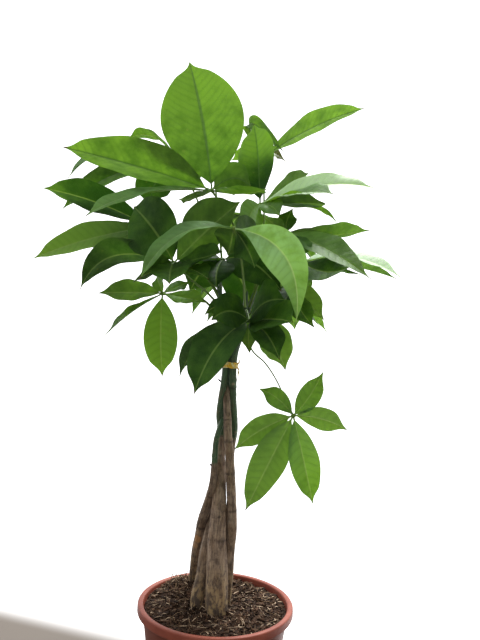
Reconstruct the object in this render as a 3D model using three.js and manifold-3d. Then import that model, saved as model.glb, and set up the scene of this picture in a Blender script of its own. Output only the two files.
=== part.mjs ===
// A potted money tree: five braided stems held by a gold tie, in a plastic nursery pot of soil,
// with palm-shaped leaves. Millimetres, Z up, origin at the middle of the pot's base, front at -Y.

import * as THREE from "three";
import { mergeVertices } from "three/addons/utils/BufferGeometryUtils.js";
import Module from "manifold-3d";

const wasm = await Module();
wasm.setup();

// Driving dimensions of the pot
const POT_HEIGHT = 150;
const RIM_RADIUS = 85;
const RIM_INNER_RADIUS = 79;
const BAND_HEIGHT = 9.5;
const BAND_STEP = 5.7;
const BASE_RADIUS = 58;
const WALL = 1.8;
const BASE_THICKNESS = 3;
const EDGE_ROUND = 2;
const POT_SEGMENTS = 40;
const DRAIN_HOLES = 6;
const DRAIN_RADIUS = 4;
const DRAIN_RING_RADIUS = 38;
const DRAIN_SEGMENTS = 12;

// Driving dimensions of the soil
const SOIL_LEVEL = 145;
const SOIL_LUMP = 0.8;
const SOIL_WAVES = [
  { x: 0.21, y: 0.13, start: 0, share: 1 },
  { x: -0.29, y: 0.17, start: 2, share: 0.8 },
];
const SOIL_RINGS = 6;
const SOIL_SEGMENTS = 30;
const SOIL_EDGE_BELOW_RIM = 3;
const SOIL_EDGE_DIP = 1;
const SOIL_TO_WALL = 1;
const MOUND = { x: -34, y: 32, height: 14, spread: 21 };

// Clearance between pieces that touch, and how near two points are to count as one
const GAP = 0.3;
const SAME_POINT = 1e-4;

// Driving dimensions of the tie
const TIE = {
  z: 411,
  height: 7,
  thickness: 1.6,
  endRadius: 1.1,
  endSides: 4,
  ends: [
    [[11.6, -4.5, 410], [13.6, -5.4, 406], [13.2, -6.2, 399]],
    [[11.4, -5.2, 412], [13.2, -7.4, 413.5], [14.6, -8, 417]],
  ],
};

// Driving dimensions of the leaves
const BLADE_THICKNESS = 0.8;
const BLADE_STATIONS = [0, 0.08, 0.29, 0.55, 0.81];
const BLADE_START = 0.05;
const BLADE_WIDEST = 0.56;
const BLADE_LEANNESS = 1.75;
const BLADE_FOLD = 13;
const BLADE_WAVE = 1.4;
const WAVE_ALONG = 7;
const WAVE_ACROSS = 2;
const WAVE_START = 5;
const LEAFLET_SEED_STEP = 0.37;
const FIRST_BACK_SEED = 20;
const BLADE_ROOT_WIDTH = 2;
const STALK_RADIUS = 1;
const STALK_ROOT_RADIUS = 1.5;
const STALK_SIDES = 5;
const HUB_RADIUS = 2.4;
const STEM_SIDES = 8;
const TIE_OUTLINE_POINTS = 8;

// Places are given as the front view shows them: millimetres to the right of the pot's axis, the
// height above the base, both on the upright plane through the pot's axis, and how far in front of
// that plane. A place in front lies on the sight line from EYE through its point of the plane.
const EYE = new THREE.Vector3(12.6, -716.2, 460.7);

// Stems, from the root to the tip of the shoot: right, height, front and radius
const STEMS = {
  stem_front: [
    [3, 107, 16, 10], [2, 132, 16, 11.5], [1, 149, 16, 12.6], [0, 178, 13, 12],
    [-1, 205, 10, 10.6], [-1, 234, 8, 9.1], [-1, 262, 5, 7.6], [-1.5, 290, -2, 6.6], [-2, 311, -4, 5],
    [-2, 336, -7, 4.3], [-5, 355, 0, 3.9], [-4, 372, 2, 3.7], [-2, 391, 4, 3.5],
    [-1, 410, 4, 3.3], [0, 427, 5, 3.2], [-2, 447, 4, 3.1], [-7, 473, 3, 2.9], [-13, 498, 2, 2.2],
  ],
  stem_right: [
    [11, 108, -4, 5], [11, 146, -3, 5.6], [13, 180, 0, 5.2], [13.4, 206, 2, 5.4], [14.4, 230, 4, 5.8],
    [12.4, 262, 5, 5.2], [10.5, 284, 6, 5.1], [8, 312, 8, 4.6], [5, 337, 10, 4.4], [4, 353, 9, 4.3],
    [2, 374, 5, 3.7], [3, 390, -3, 3.2], [3, 411, -3, 3], [5, 427, -4, 3], [13, 450, -6, 3],
    [21, 472, -8, 2.8], [29, 495, -9, 2.2],
  ],
  stem_left_back: [
    [-27, 128, -30, 5], [-27, 161, -30, 4.6], [-26, 183, -28, 4.3], [-24, 204, -24, 5.2],
    [-21, 219, -20, 6], [-18, 239, -11, 5.8], [-13, 259, -2, 4.9], [-9, 280, 8, 3.9],
    [-8.3, 303, 9, 3.1], [-7.5, 327, 8, 3], [-4, 342, 6, 2.8], [1, 357, -2, 2.8], [6, 372, -8, 2.8],
    [7, 391, -10, 2.8], [7, 411, -9, 2.8], [10, 430, -14, 3], [16, 459, -28, 3],
    [21, 488, -42, 2.8], [23, 514, -52, 2.2],
  ],
  stem_left: [
    [-20, 106, 6, 6], [-21, 143, 6, 6.6], [-20, 155, 5, 7.3], [-16, 177, 2, 6.6],
    [-14, 205, -2, 5.6], [-9.6, 231, -9, 5.1], [-5, 250, -15, 4.9], [0, 273, -18, 4.7],
    [0, 295, -19, 4.5], [-3, 328, -18, 4.1], [-3, 355, -14, 3.9], [-2, 374, -10, 3.6],
    [-1, 389, -10, 3.4], [-1, 410, -10, 3.1], [-2, 431, -15, 3.1], [-9, 465, -30, 3],
    [-11, 493, -42, 2.8], [-9, 520, -52, 2.2],
  ],
  stem_back: [
    [8, 119, -22, 6], [7, 152, -22, 6.4], [6, 190, -20, 6.2], [9, 229, -17, 5.6],
    [12, 262, -15, 5], [9.3, 295, -12, 4.5], [9.5, 319, -8, 4.1], [12, 339, -3, 3.8],
    [11, 356, 0, 3.6], [9, 375, 1, 3.6], [8, 391, 3, 4.1], [7, 411, 3, 4.5], [9, 427, 3, 3.9],
    [14, 444, 4, 3.4], [17, 465, 4, 3], [18, 494, 3, 2.2],
  ],
};

// Leaves that show in the front view: the stem each grows from and how far along it, the places that
// its stalk passes, its hub, and its leaflets. A leaflet is the middle and the tip of its rib, its
// width, how far it turns about its rib from flat-on to the viewer (a positive turn shows its top), and
// where one isn't of the usual form, how far along it is widest and how lean its ends are
const FRONT_LEAVES = {
  leaf_crown_front: {
    stem: "stem_back",
    rootAt: 0.985,
    petiole: [[6, 543, 14], [0, 566, 20], [-13, 585, 26]],
    hub: [-25, 602, 30],
    leaflets: [
      [[-37, 671, 38], [-56, 742, 30], 88, 0, 0.57, 1.88],
      [[-101, 623, 52], [-191, 642, 75], 77, -57],
      [[-101, 595, 95], [-163, 567, 118], 34, 76],
      [[6, 600, 78], [35, 606, 122], 30, 108],
      [[-3, 616, 22], [18, 608, 26], 36, 0],
      [[-41, 594, 68], [-61, 590, 100], 18, -62],
    ],
  },
  leaf_left_far: {
    stem: "stem_front",
    rootAt: 0.965,
    petiole: [[-34, 516, 0], [-66, 545, 2]],
    hub: [-91, 559, 5],
    leaflets: [
      [[-151, 583, 15], [-211, 596, 25], 50, -53],
      [[-157, 543, 20], [-218, 518, 40], 39, -46],
      [[-126, 545, -12], [-152, 517, -32], 34, -30],
      [[-90, 571, -35], [-87, 582, -78], 40, -40],
    ],
  },
  leaf_left_front: {
    stem: "stem_front",
    rootAt: 0.93,
    petiole: [[-26, 490, 32], [-45, 504, 55]],
    hub: [-63, 520, 75],
    leaflets: [
      [[-86, 555, 72], [-110, 580, 36], 60, -20],
      [[-30, 556, 60], [7, 591, 48], 60, -40],
      [[-87, 510, 108], [-105, 499, 135], 34, -65],
      [[-66, 513, 120], [-67, 497, 158], 40, 20],
      [[-43, 514, 108], [-24, 504, 130], 30, 60],
      [[-35, 526, 95], [-10, 535, 118], 36, 62],
      [[-130, 525, 50], [-165, 486, 64], 44, -46, 0.5, 2],
    ],
  },
  leaf_front: {
    stem: "stem_back",
    rootAt: 0.95,
    petiole: [[13, 516, 62], [7, 543, 95]],
    hub: [1, 561, 108],
    leaflets: [
      [[-57, 552, 128], [-100, 500, 138], 34, 66],
      [[60, 532, 138], [74, 456, 142], 38, -8, 0.48, 2.5],
      [[16, 541, 92], [26, 519, 96], 38, 30],
      [[17, 556, 78], [33, 548, 46], 38, 20],
      [[-1, 547, 84], [-4, 531, 56], 38, 10],
    ],
  },
  leaf_right_top: {
    stem: "stem_right",
    rootAt: 0.985,
    petiole: [[29, 525, -2], [31, 561, 0]],
    hub: [29, 589, 0],
    leaflets: [
      [[89, 612, 30], [153, 613, 45], 38, 63],
      [[24, 643, -16], [18, 677, -28], 45, -25, 0.5, 1.6],
      [[74, 603, 45], [109, 604, 70], 38, 80],
      [[76, 593, 38], [101, 593, 62], 34, -62],
      [[82, 589, 20], [114, 573, 26], 28, -70],
      [[42, 587, 30], [51, 577, 55], 24, 30],
      [[60, 610, -35], [81, 626, -60], 30, -50],
      [[19, 578, 32], [16, 554, 50], 30, -20],
    ],
  },
  leaf_top_back: {
    stem: "stem_left_back",
    rootAt: 0.99,
    petiole: [[33, 550, -58], [33, 594, -66]],
    hub: [29, 640, -72],
    leaflets: [
      [[82, 676, -88], [139, 700, -92], 48, -60],
      [[14, 678, -68], [53, 647, -50], 22, 50],
      [[39, 647, -98], [55, 637, -118], 18, 40],
      [[14, 641, -92], [-5, 636, -118], 26, -40],
      [[28, 649, -110], [28, 658, -145], 36, -30],
    ],
  },
  leaf_right: {
    stem: "stem_right",
    rootAt: 0.945,
    petiole: [[40, 526, 30]],
    hub: [59, 560, 55],
    leaflets: [
      [[106, 559, 46], [151, 566, 40], 38, -66],
      [[108, 541, 84], [155, 512, 98], 42, 56, 0.46, 2],
      [[59, 571, 40], [65, 586, 26], 20, 0],
      [[47, 567, 58], [35, 575, 66], 18, -20],
      [[64, 545, 80], [69, 525, 98], 42, 20],
      [[76, 552, 22], [91, 539, -12], 42, -40],
    ],
  },
  leaf_right_low: {
    stem: "stem_left_back",
    rootAt: 0.935,
    petiole: [[52, 509, -28]],
    hub: [76, 528, -20],
    leaflets: [
      [[133, 535, -14], [187, 516, -5], 44, 74],
      [[131, 526, -36], [183, 514, -42], 36, -78],
      [[104, 518, 22], [131, 525, 42], 42, 46],
      [[111, 521, 2], [143, 517, 8], 24, 78],
      [[104, 534, -52], [133, 542, -86], 40, -74],
      [[76, 507, -50], [79, 487, -72], 30, -20],
    ],
  },
  leaf_right_under: {
    stem: "stem_right",
    rootAt: 0.9,
    petiole: [[46, 493, 2]],
    hub: [67, 503, 10],
    leaflets: [
      [[83, 487, 10], [105, 465, 6], 32, -30],
      [[76, 479, 32], [95, 456, 42], 27, 30],
      [[62, 485, 34], [57, 465, 50], 38, 20],
      [[67, 493, -30], [68, 478, -62], 38, -30],
    ],
  },
  leaf_low_front: {
    stem: "stem_back",
    rootAt: 0.91,
    petiole: [[19, 472, 38]],
    hub: [23, 460, 68],
    leaflets: [
      [[49, 438, 84], [65, 408, 86], 40, -35],
      [[42, 447, 102], [58, 419, 114], 32, 30],
      [[38, 480, 96], [61, 485, 118], 46, 50],
      [[48, 463, 106], [71, 461, 134], 46, 50],
      [[-10, 432, 98], [-34, 377, 108], 52, 40],
      [[-26, 436, 68], [-51, 395, 72], 42, -68],
      [[23, 441, 78], [25, 425, 84], 17, 0],
      [[1, 470, 94], [-19, 459, 120], 36, 15],
      [[-6, 475, 60], [-27, 464, 42], 18, -20],
    ],
  },
  leaf_hanging: {
    stem: "stem_back",
    rootAt: 0.86,
    petiole: [[21, 437, 16], [30, 425, 30], [42, 415, 38], [54, 399, 46], [65, 379, 54]],
    hub: [76, 358, 60],
    leaflets: [
      [[58, 376, 58], [37, 386, 50], 20, 0],
      [[92, 379, 62], [107, 408, 62], 23, 0],
      [[107, 356, 66], [136, 345, 64], 24, -10],
      [[89, 312, 64], [102, 262, 58], 31, 10],
      [[54, 310, 64], [28, 251, 58], 37, -10],
      [[43, 342, 56], [13, 318, 46], 27, -15],
    ],
  },
  leaf_left_low: {
    stem: "stem_front",
    rootAt: 0.895,
    petiole: [[-33, 483, 8], [-55, 482, 14]],
    hub: [-74, 486, 20],
    leaflets: [
      [[-107, 486, 30], [-145, 483, 38], 31, -45],
      [[-106, 465, 48], [-135, 437, 60], 26, 80],
      [[-74, 440, 40], [-70, 395, 40], 36, 0],
      [[-58, 494, 8], [-45, 500, -6], 16, 40],
      [[-48, 482, 44], [-27, 478, 62], 24, 50],
      [[-78, 496, 14], [-81, 505, -8], 16, -30],
    ],
  },
  leaf_left_back: {
    stem: "stem_left",
    rootAt: 0.96,
    petiole: [[-26, 545, -50], [-42, 594, -56]],
    hub: [-66, 634, -58],
    leaflets: [
      [[-91, 658, -78], [-120, 655, -98], 26, -70],
      [[-137, 641, -60], [-184, 608, -50], 34, 74],
      [[-135, 614, -52], [-189, 573, -42], 42, -55],
      [[-88, 606, -76], [-91, 582, -82], 46, -10],
      [[-54, 619, -100], [-47, 606, -142], 40, -30],
    ],
  },
  leaf_inner: {
    stem: "stem_left",
    rootAt: 0.9,
    petiole: [[-14, 503, -22]],
    hub: [-9, 526, 6],
    leaflets: [
      [[-15, 514, 34], [-15, 495, 52], 38, 12],
      [[-32, 530, 24], [-52, 521, 38], 34, 62],
      [[22, 525, 32], [57, 494, 50], 46, 18],
      [[13, 503, -14], [26, 466, -22], 50, -12],
      [[-31, 513, -10], [-44, 488, -18], 40, 4],
    ],
  },
};

// Leaves at the back: how far each is turned from straight back, the distance of its hub behind the
// pot's axis, its height, how wide its leaflets fan out and how far they droop, how many there are
// and the longest one
const BACK_LEAVES = {
  leaf_back_low: {
    stem: "stem_left",
    rootAt: 0.86,
    heading: 2,
    reach: 84,
    height: 479,
    fan: 92,
    droop: 26,
    count: 4,
    length: 78,
  },
  leaf_back_low_right: {
    stem: "stem_left_back",
    rootAt: 0.86,
    heading: 43,
    reach: 88,
    height: 478,
    fan: 130,
    droop: 22,
    count: 4,
    length: 76,
  },
  leaf_back_middle: {
    stem: "stem_left_back",
    rootAt: 0.9,
    heading: 4,
    reach: 120,
    height: 536,
    fan: 240,
    droop: 44,
    count: 5,
    length: 112,
  },
  leaf_back_left: {
    stem: "stem_left",
    rootAt: 0.9,
    heading: -50,
    reach: 108,
    height: 566,
    fan: 200,
    droop: 24,
    count: 5,
    length: 84,
  },
  leaf_back_right: {
    stem: "stem_left_back",
    rootAt: 0.965,
    heading: 33,
    reach: 112,
    height: 566,
    fan: 170,
    droop: 36,
    count: 5,
    length: 76,
  },
  leaf_back_high: {
    stem: "stem_left",
    rootAt: 0.92,
    heading: 6,
    reach: 122,
    height: 598,
    fan: 110,
    droop: 24,
    count: 5,
    length: 100,
  },
  leaf_back_top: {
    stem: "stem_left",
    rootAt: 0.99,
    heading: -22,
    reach: 96,
    height: 686,
    fan: 80,
    droop: 24,
    count: 3,
    length: 80,
  },
};
const BACK_STALK_BEND = { at: 0.45, rise: 10 };
const BACK_RISE = 0.14;
const BACK_LEAFLET_WIDTH = 0.36;
const BACK_SIDE_LENGTH = 0.68;

const degrees = THREE.MathUtils.degToRad;

// The place in space that the front view shows at right, height, and front millimetres before the plane
function place([right, height, front]) {
  const onPlane = new THREE.Vector3(right, 0, height);
  const towardsEye = EYE.clone().sub(onPlane);
  return onPlane.addScaledVector(towardsEye, front / -EYE.y);
}

// A closed geometry as a solid to join and cut
function solidOf(geometry) {
  const plain = geometry.clone();
  plain.deleteAttribute("normal");
  plain.deleteAttribute("uv");
  const merged = mergeVertices(plain, SAME_POINT);
  const vertProperties = new Float32Array(merged.attributes.position.array);
  const triVerts = new Uint32Array(merged.index.array);
  return new wasm.Manifold(new wasm.Mesh({ numProp: 3, vertProperties, triVerts }));
}

// A solid as a geometry to show
function geometryOf(solid) {
  const { vertProperties, triVerts } = solid.getMesh();
  const geometry = new THREE.BufferGeometry();
  geometry.setAttribute("position", new THREE.BufferAttribute(vertProperties, 3));
  geometry.setIndex(new THREE.BufferAttribute(triVerts, 1));
  geometry.computeVertexNormals();
  return geometry;
}

// Joining thin blades can leave scraps, which are dropped
function largestBody(solid) {
  return solid.decompose().reduce((a, b) => (b.volume() > a.volume() ? b : a));
}

function indexed(points, triangles) {
  const geometry = new THREE.BufferGeometry().setFromPoints(points);
  geometry.setIndex(triangles);
  return geometry;
}

// A round tube along a smooth curve through points, its radius running through radii
function taperedTube(points, radii, sides, stepsBetween) {
  const curve = new THREE.CatmullRomCurve3(points, false, "centripetal");
  const steps = (points.length - 1) * stepsBetween;
  const rings = [];
  const across = new THREE.Vector3(1, 0, 0);
  for (let i = 0; i <= steps; i++) {
    const t = i / steps;
    const along = curve.getTangent(t);
    across.addScaledVector(along, -across.dot(along)).normalize();
    const third = along.clone().cross(across);
    const row = t * (radii.length - 1);
    const before = Math.min(Math.floor(row), radii.length - 2);
    const radius = THREE.MathUtils.lerp(radii[before], radii[before + 1], row - before);
    const centre = curve.getPoint(t);
    for (let k = 0; k < sides; k++) {
      const angle = (2 * Math.PI * k) / sides;
      rings.push(
        centre
          .clone()
          .addScaledVector(across, radius * Math.cos(angle))
          .addScaledVector(third, radius * Math.sin(angle)),
      );
    }
  }
  const triangles = [];
  for (let i = 0; i < steps; i++)
    for (let k = 0; k < sides; k++) {
      const a = i * sides + k;
      const b = i * sides + ((k + 1) % sides);
      triangles.push(a, b, b + sides, a, b + sides, a + sides);
    }
  const last = steps * sides;
  for (let k = 1; k < sides - 1; k++) {
    triangles.push(0, k + 1, k);
    triangles.push(last, last + k, last + k + 1);
  }
  return { geometry: indexed(rings, triangles), curve };
}

function material(color, roughness, metalness = 0) {
  return new THREE.MeshStandardMaterial({ color, roughness, metalness });
}

const DOWN = new THREE.Vector3(0, 0, -1);
const plant = new THREE.Group();

function show(name, solid, finish) {
  const mesh = new THREE.Mesh(geometryOf(solid), finish);
  mesh.name = name;
  plant.add(mesh);
}

// Inner radius of the pot's wall at a height
function innerRadius(z) {
  const share = (z - BASE_THICKNESS) / (POT_HEIGHT - EDGE_ROUND - BASE_THICKNESS);
  return THREE.MathUtils.lerp(BASE_RADIUS - WALL, RIM_INNER_RADIUS, share);
}

// The pot: one thin turned shell with a band under the rim, and drainage holes through its base
function pot() {
  const bandFoot = POT_HEIGHT - BAND_HEIGHT;
  const wallTop = innerRadius(bandFoot) + WALL;
  const profile = [
    [0, 0],
    [BASE_RADIUS - EDGE_ROUND, 0],
    [BASE_RADIUS, EDGE_ROUND],
    [wallTop, bandFoot],
    [wallTop + BAND_STEP, bandFoot],
    [RIM_RADIUS, POT_HEIGHT - EDGE_ROUND],
    [RIM_RADIUS - EDGE_ROUND, POT_HEIGHT],
    [RIM_INNER_RADIUS + EDGE_ROUND, POT_HEIGHT],
    [RIM_INNER_RADIUS, POT_HEIGHT - EDGE_ROUND],
    [BASE_RADIUS - WALL, BASE_THICKNESS],
    [0, BASE_THICKNESS],
  ];
  const points = profile.map(([r, z]) => new THREE.Vector2(r, z));
  const shell = new THREE.LatheGeometry(points, POT_SEGMENTS).rotateX(Math.PI / 2);
  let solid = solidOf(shell);
  for (let i = 0; i < DRAIN_HOLES; i++) {
    const angle = (2 * Math.PI * (i + 0.5)) / DRAIN_HOLES;
    const drill = new THREE.CylinderGeometry(DRAIN_RADIUS, DRAIN_RADIUS, 3 * BASE_THICKNESS, DRAIN_SEGMENTS);
    drill.rotateX(Math.PI / 2);
    drill.translate(DRAIN_RING_RADIUS * Math.cos(angle), DRAIN_RING_RADIUS * Math.sin(angle), 0);
    solid = solid.subtract(solidOf(drill));
  }
  return solid;
}

// Height of the soil's surface: level with lumps, and a mound at the left
function soilHeight(x, y) {
  const away = ((x - MOUND.x) ** 2 + (y - MOUND.y) ** 2) / (2 * MOUND.spread ** 2);
  const lumps = SOIL_WAVES.map((wave) => wave.share * Math.sin(wave.x * x + wave.y * y + wave.start));
  return SOIL_LEVEL + MOUND.height * Math.exp(-away) + SOIL_LUMP * (lumps[0] + lumps[1]);
}

// The soil: fills the pot, with a plain hole round each stem
function soil(stemsWithGap) {
  const points = [];
  const floorRadius = BASE_RADIUS - WALL - GAP;
  for (let ring = 1; ring <= SOIL_RINGS; ring++)
    for (let k = 0; k < SOIL_SEGMENTS; k++) {
      const angle = (2 * Math.PI * k) / SOIL_SEGMENTS;
      const radius = ((innerRadius(SOIL_LEVEL) - SOIL_TO_WALL) * ring) / SOIL_RINGS;
      const x = radius * Math.cos(angle);
      const y = radius * Math.sin(angle);
      const edge = Math.min(soilHeight(x, y), POT_HEIGHT - SOIL_EDGE_BELOW_RIM) - SOIL_EDGE_DIP;
      points.push(new THREE.Vector3(x, y, ring === SOIL_RINGS ? edge : soilHeight(x, y)));
    }
  for (let k = 0; k < SOIL_SEGMENTS; k++) {
    const angle = (2 * Math.PI * k) / SOIL_SEGMENTS;
    const z = BASE_THICKNESS + GAP;
    points.push(new THREE.Vector3(floorRadius * Math.cos(angle), floorRadius * Math.sin(angle), z));
  }
  const top = points.push(new THREE.Vector3(0, 0, soilHeight(0, 0))) - 1;
  const bottom = points.push(new THREE.Vector3(0, 0, BASE_THICKNESS + GAP)) - 1;
  const triangles = [];
  for (let k = 0; k < SOIL_SEGMENTS; k++) {
    const next = (k + 1) % SOIL_SEGMENTS;
    triangles.push(top, k, next);
    for (let ring = 0; ring < SOIL_RINGS; ring++) {
      const a = ring * SOIL_SEGMENTS + k;
      const b = ring * SOIL_SEGMENTS + next;
      triangles.push(a, a + SOIL_SEGMENTS, b + SOIL_SEGMENTS, a, b + SOIL_SEGMENTS, b);
    }
    const floor = SOIL_RINGS * SOIL_SEGMENTS;
    triangles.push(bottom, floor + next, floor + k);
  }
  let solid = solidOf(indexed(points, triangles));
  for (const stem of stemsWithGap) solid = solid.subtract(stem);
  return solid;
}

// The stems: each is pressed flat where it leans on one made before it
function makeStems() {
  const made = {};
  const before = [];
  for (const [name, rows] of Object.entries(STEMS)) {
    const points = rows.map(place);
    const radii = rows.map((row) => row[3]);
    const { geometry, curve } = taperedTube(points, radii, STEM_SIDES, 1);
    const wide = radii.map((radius) => radius + GAP);
    let solid = solidOf(geometry);
    for (const other of before) solid = solid.subtract(other);
    const withGap = solidOf(taperedTube(points, wide, STEM_SIDES, 1).geometry);
    before.push(withGap);
    made[name] = { solid, curve, withGap, rows };
  }
  return made;
}

// The outline drawn tight round points of the plane, anticlockwise
function tightOutline(points) {
  const sorted = [...points].sort((a, b) => a.x - b.x || a.y - b.y);
  const chain = (list) => {
    const kept = [];
    for (const p of list) {
      while (kept.length > 1) {
        const [a, b] = kept.slice(-2);
        if ((b.x - a.x) * (p.y - a.y) > (b.y - a.y) * (p.x - a.x)) break;
        kept.pop();
      }
      kept.push(p);
    }
    return kept.slice(0, -1);
  };
  return [...chain(sorted), ...chain(sorted.reverse())];
}

// The tie: a foil band pulled tight round the stems, with its twisted ends
function tie(stems) {
  const foot = TIE.z - TIE.height / 2;
  const outline = (offset) => {
    const round = [];
    for (const { rows } of Object.values(stems)) {
      const row = rows.reduce((a, b) => (Math.abs(b[1] - TIE.z) < Math.abs(a[1] - TIE.z) ? b : a));
      const centre = place(row);
      for (let k = 0; k < TIE_OUTLINE_POINTS; k++) {
        const angle = (2 * Math.PI * k) / TIE_OUTLINE_POINTS;
        const radius = row[3] + offset;
        const x = centre.x + radius * Math.cos(angle);
        round.push(new THREE.Vector2(x, centre.y + radius * Math.sin(angle)));
      }
    }
    return tightOutline(round);
  };
  const band = new THREE.Shape(outline(GAP + TIE.thickness));
  band.holes.push(new THREE.Path(outline(GAP)));
  const ring = new THREE.ExtrudeGeometry(band, { depth: TIE.height, bevelEnabled: false });
  let solid = solidOf(ring.translate(0, 0, foot));
  for (const ends of TIE.ends) {
    const points = ends.map((p) => new THREE.Vector3(...p));
    const radii = ends.map(() => TIE.endRadius);
    solid = solid.add(solidOf(taperedTube(points, radii, TIE.endSides, 1).geometry));
  }
  for (const { withGap } of Object.values(stems)) solid = solid.subtract(withGap);
  return solid;
}

// Half the width of a leaflet at t along its rib, from the hub to the tip
function halfWidth(width, widest, leanness, t) {
  const share = Math.max(0, t - BLADE_START) / (widest - BLADE_START);
  const rise = Math.pow(share, widest * leanness);
  const fall = Math.pow((1 - t) / (1 - widest), (1 - widest) * leanness);
  return Math.max(BLADE_ROOT_WIDTH / 2, (width / 2) * rise * fall);
}

// A leaflet: a thin blade along its rib, folded up a little from the rib, with waved edges
function leaflet({ hub, mid, tip, side, width, widest = BLADE_WIDEST, leanness = BLADE_LEANNESS }, seed) {
  const chord = tip.clone().sub(hub).normalize();
  const control = mid.clone().multiplyScalar(2).addScaledVector(hub, -0.5).addScaledVector(tip, -0.5);
  const rib = new THREE.QuadraticBezierCurve3(hub, control, tip);
  const upward = side.clone().cross(chord).z < 0 ? -1 : 1;
  const columns = [];
  const up = new THREE.Vector3();
  for (const t of BLADE_STATIONS) {
    const along = rib.getTangent(t);
    const across = side.clone().addScaledVector(along, -side.dot(along)).normalize();
    up.copy(across).cross(along).multiplyScalar(upward);
    const centre = rib.getPoint(t);
    const half = halfWidth(width, widest, leanness, t);
    for (const way of [-1, 0, 1]) {
      const phase = WAVE_ALONG * t + WAVE_ACROSS * way + WAVE_START * seed;
      const wave = Math.abs(way) * BLADE_WAVE * ((2 * half) / width) * Math.sin(phase);
      const fold = Math.abs(way) * half * Math.sin(degrees(BLADE_FOLD));
      const point = centre.clone().addScaledVector(across, way * half * Math.cos(degrees(BLADE_FOLD)));
      columns.push([point.addScaledVector(up, fold + wave), up.clone()]);
    }
  }
  columns.push([tip.clone(), up.clone()]);
  const faces = [];
  const rows = BLADE_STATIONS.length;
  for (let row = 0; row < rows - 1; row++)
    for (const k of [3 * row, 3 * row + 1]) faces.push([k, k + 4, k + 3], [k, k + 1, k + 4]);
  const end = 3 * rows;
  faces.push([end - 3, end - 2, end], [end - 2, end - 1, end]);
  if (upward < 0) faces.forEach((face) => face.reverse());
  return solidOf(plate(columns, faces));
}

// A thin closed plate: columns are [point, direction of its thickness], faces index them
function plate(columns, faces) {
  const count = columns.length;
  const points = [];
  for (const way of [0.5, -0.5])
    for (const [point, thick] of columns)
      points.push(point.clone().addScaledVector(thick, way * BLADE_THICKNESS));
  const triangles = [];
  const edges = new Map();
  for (const [a, b, c] of faces) {
    triangles.push(a, b, c, count + a, count + c, count + b);
    for (const [from, to] of [[a, b], [b, c], [c, a]]) edges.set(from * count + to, [from, to]);
  }
  for (const [from, to] of edges.values())
    if (!edges.has(to * count + from)) {
      triangles.push(to, from, count + from);
      triangles.push(to, count + from, count + to);
    }
  return indexed(points, triangles);
}

// The leaflets of a leaf in the front view, in space
function frontLeaflets(hub, rows) {
  return rows.map(([middle, end, width, turn, widest, leanness]) => {
    const mid = place(middle);
    const tip = place(end);
    const chord = tip.clone().sub(hub).normalize();
    const towardsEye = EYE.clone().sub(mid).normalize();
    const flatOn = chord.clone().cross(towardsEye).normalize();
    const nearer = flatOn.clone().cross(chord);
    if (flatOn.z > 0) flatOn.negate();
    const side = flatOn.multiplyScalar(Math.cos(degrees(turn)));
    side.addScaledVector(nearer, Math.sin(degrees(turn)));
    return { hub, mid, tip, side, width, widest, leanness };
  });
}

// The leaflets of a leaf at the back, fanned round its heading and drooping to their tips
function backLeaflets(hub, leaf) {
  const made = [];
  for (let i = 0; i < leaf.count; i++) {
    const share = i / (leaf.count - 1) - 0.5;
    const heading = degrees(leaf.heading + share * leaf.fan);
    const length = leaf.length * THREE.MathUtils.lerp(1, BACK_SIDE_LENGTH, 4 * share * share);
    const ahead = new THREE.Vector3(Math.sin(heading), Math.cos(heading), 0);
    const side = new THREE.Vector3(ahead.y, -ahead.x, 0);
    const tip = hub.clone().addScaledVector(ahead, length * Math.cos(degrees(leaf.droop)));
    tip.z -= length * Math.sin(degrees(leaf.droop));
    const mid = hub.clone().lerp(tip, 0.5);
    mid.z += BACK_RISE * length;
    made.push({ hub, mid, tip, side, width: length * BACK_LEAFLET_WIDTH });
  }
  return made;
}

// A whole leaf: its stalk seated on its stem, its hub and its leaflets in one solid
function leaf(stem, rootAt, passes, hub, leaflets, seed) {
  const root = stem.curve.getPointAt(rootAt);
  const points = [root, ...passes, hub];
  const radii = points.map((_, i) =>
    THREE.MathUtils.lerp(STALK_ROOT_RADIUS, STALK_RADIUS, i / (points.length - 1)),
  );
  const stepsBetween = points.length > 3 ? 1 : 2;
  let solid = solidOf(taperedTube(points, radii, STALK_SIDES, stepsBetween).geometry);
  solid = solid.subtract(stem.withGap);
  const knob = new THREE.IcosahedronGeometry(HUB_RADIUS, 0).translate(hub.x, hub.y, hub.z);
  solid = solid.add(solidOf(knob));
  leaflets.forEach((one, i) => {
    solid = solid.add(leaflet(one, seed + LEAFLET_SEED_STEP * i));
  });
  return largestBody(solid);
}

const BARK = material(0x7a6455, 0.9);
const LEAF = material(0x4f7f2a, 0.55);

show("pot", pot(), material(0xb5644f, 0.6));
const stems = makeStems();
const stemSpaces = Object.values(stems).map((stem) => stem.withGap);
show("soil", soil(stemSpaces), material(0x4a3c30, 0.95));
for (const [name, stem] of Object.entries(stems)) show(name, stem.solid, BARK);
show("tie", tie(stems), material(0xd9a520, 0.3, 0.8));

Object.entries(FRONT_LEAVES).forEach(([name, row], i) => {
  const hub = place(row.hub);
  const leaflets = frontLeaflets(hub, row.leaflets);
  show(name, leaf(stems[row.stem], row.rootAt, row.petiole.map(place), hub, leaflets, i), LEAF);
});

Object.entries(BACK_LEAVES).forEach(([name, row], i) => {
  const heading = degrees(row.heading);
  const hub = new THREE.Vector3(0, row.reach, row.height).applyAxisAngle(DOWN, heading);
  const root = stems[row.stem].curve.getPointAt(row.rootAt);
  const pass = root.clone().lerp(hub, BACK_STALK_BEND.at);
  pass.z += BACK_STALK_BEND.rise;
  const seed = FIRST_BACK_SEED + i;
  show(name, leaf(stems[row.stem], row.rootAt, [pass], hub, backLeaflets(hub, row), seed), LEAF);
});

export default plant;
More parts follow.
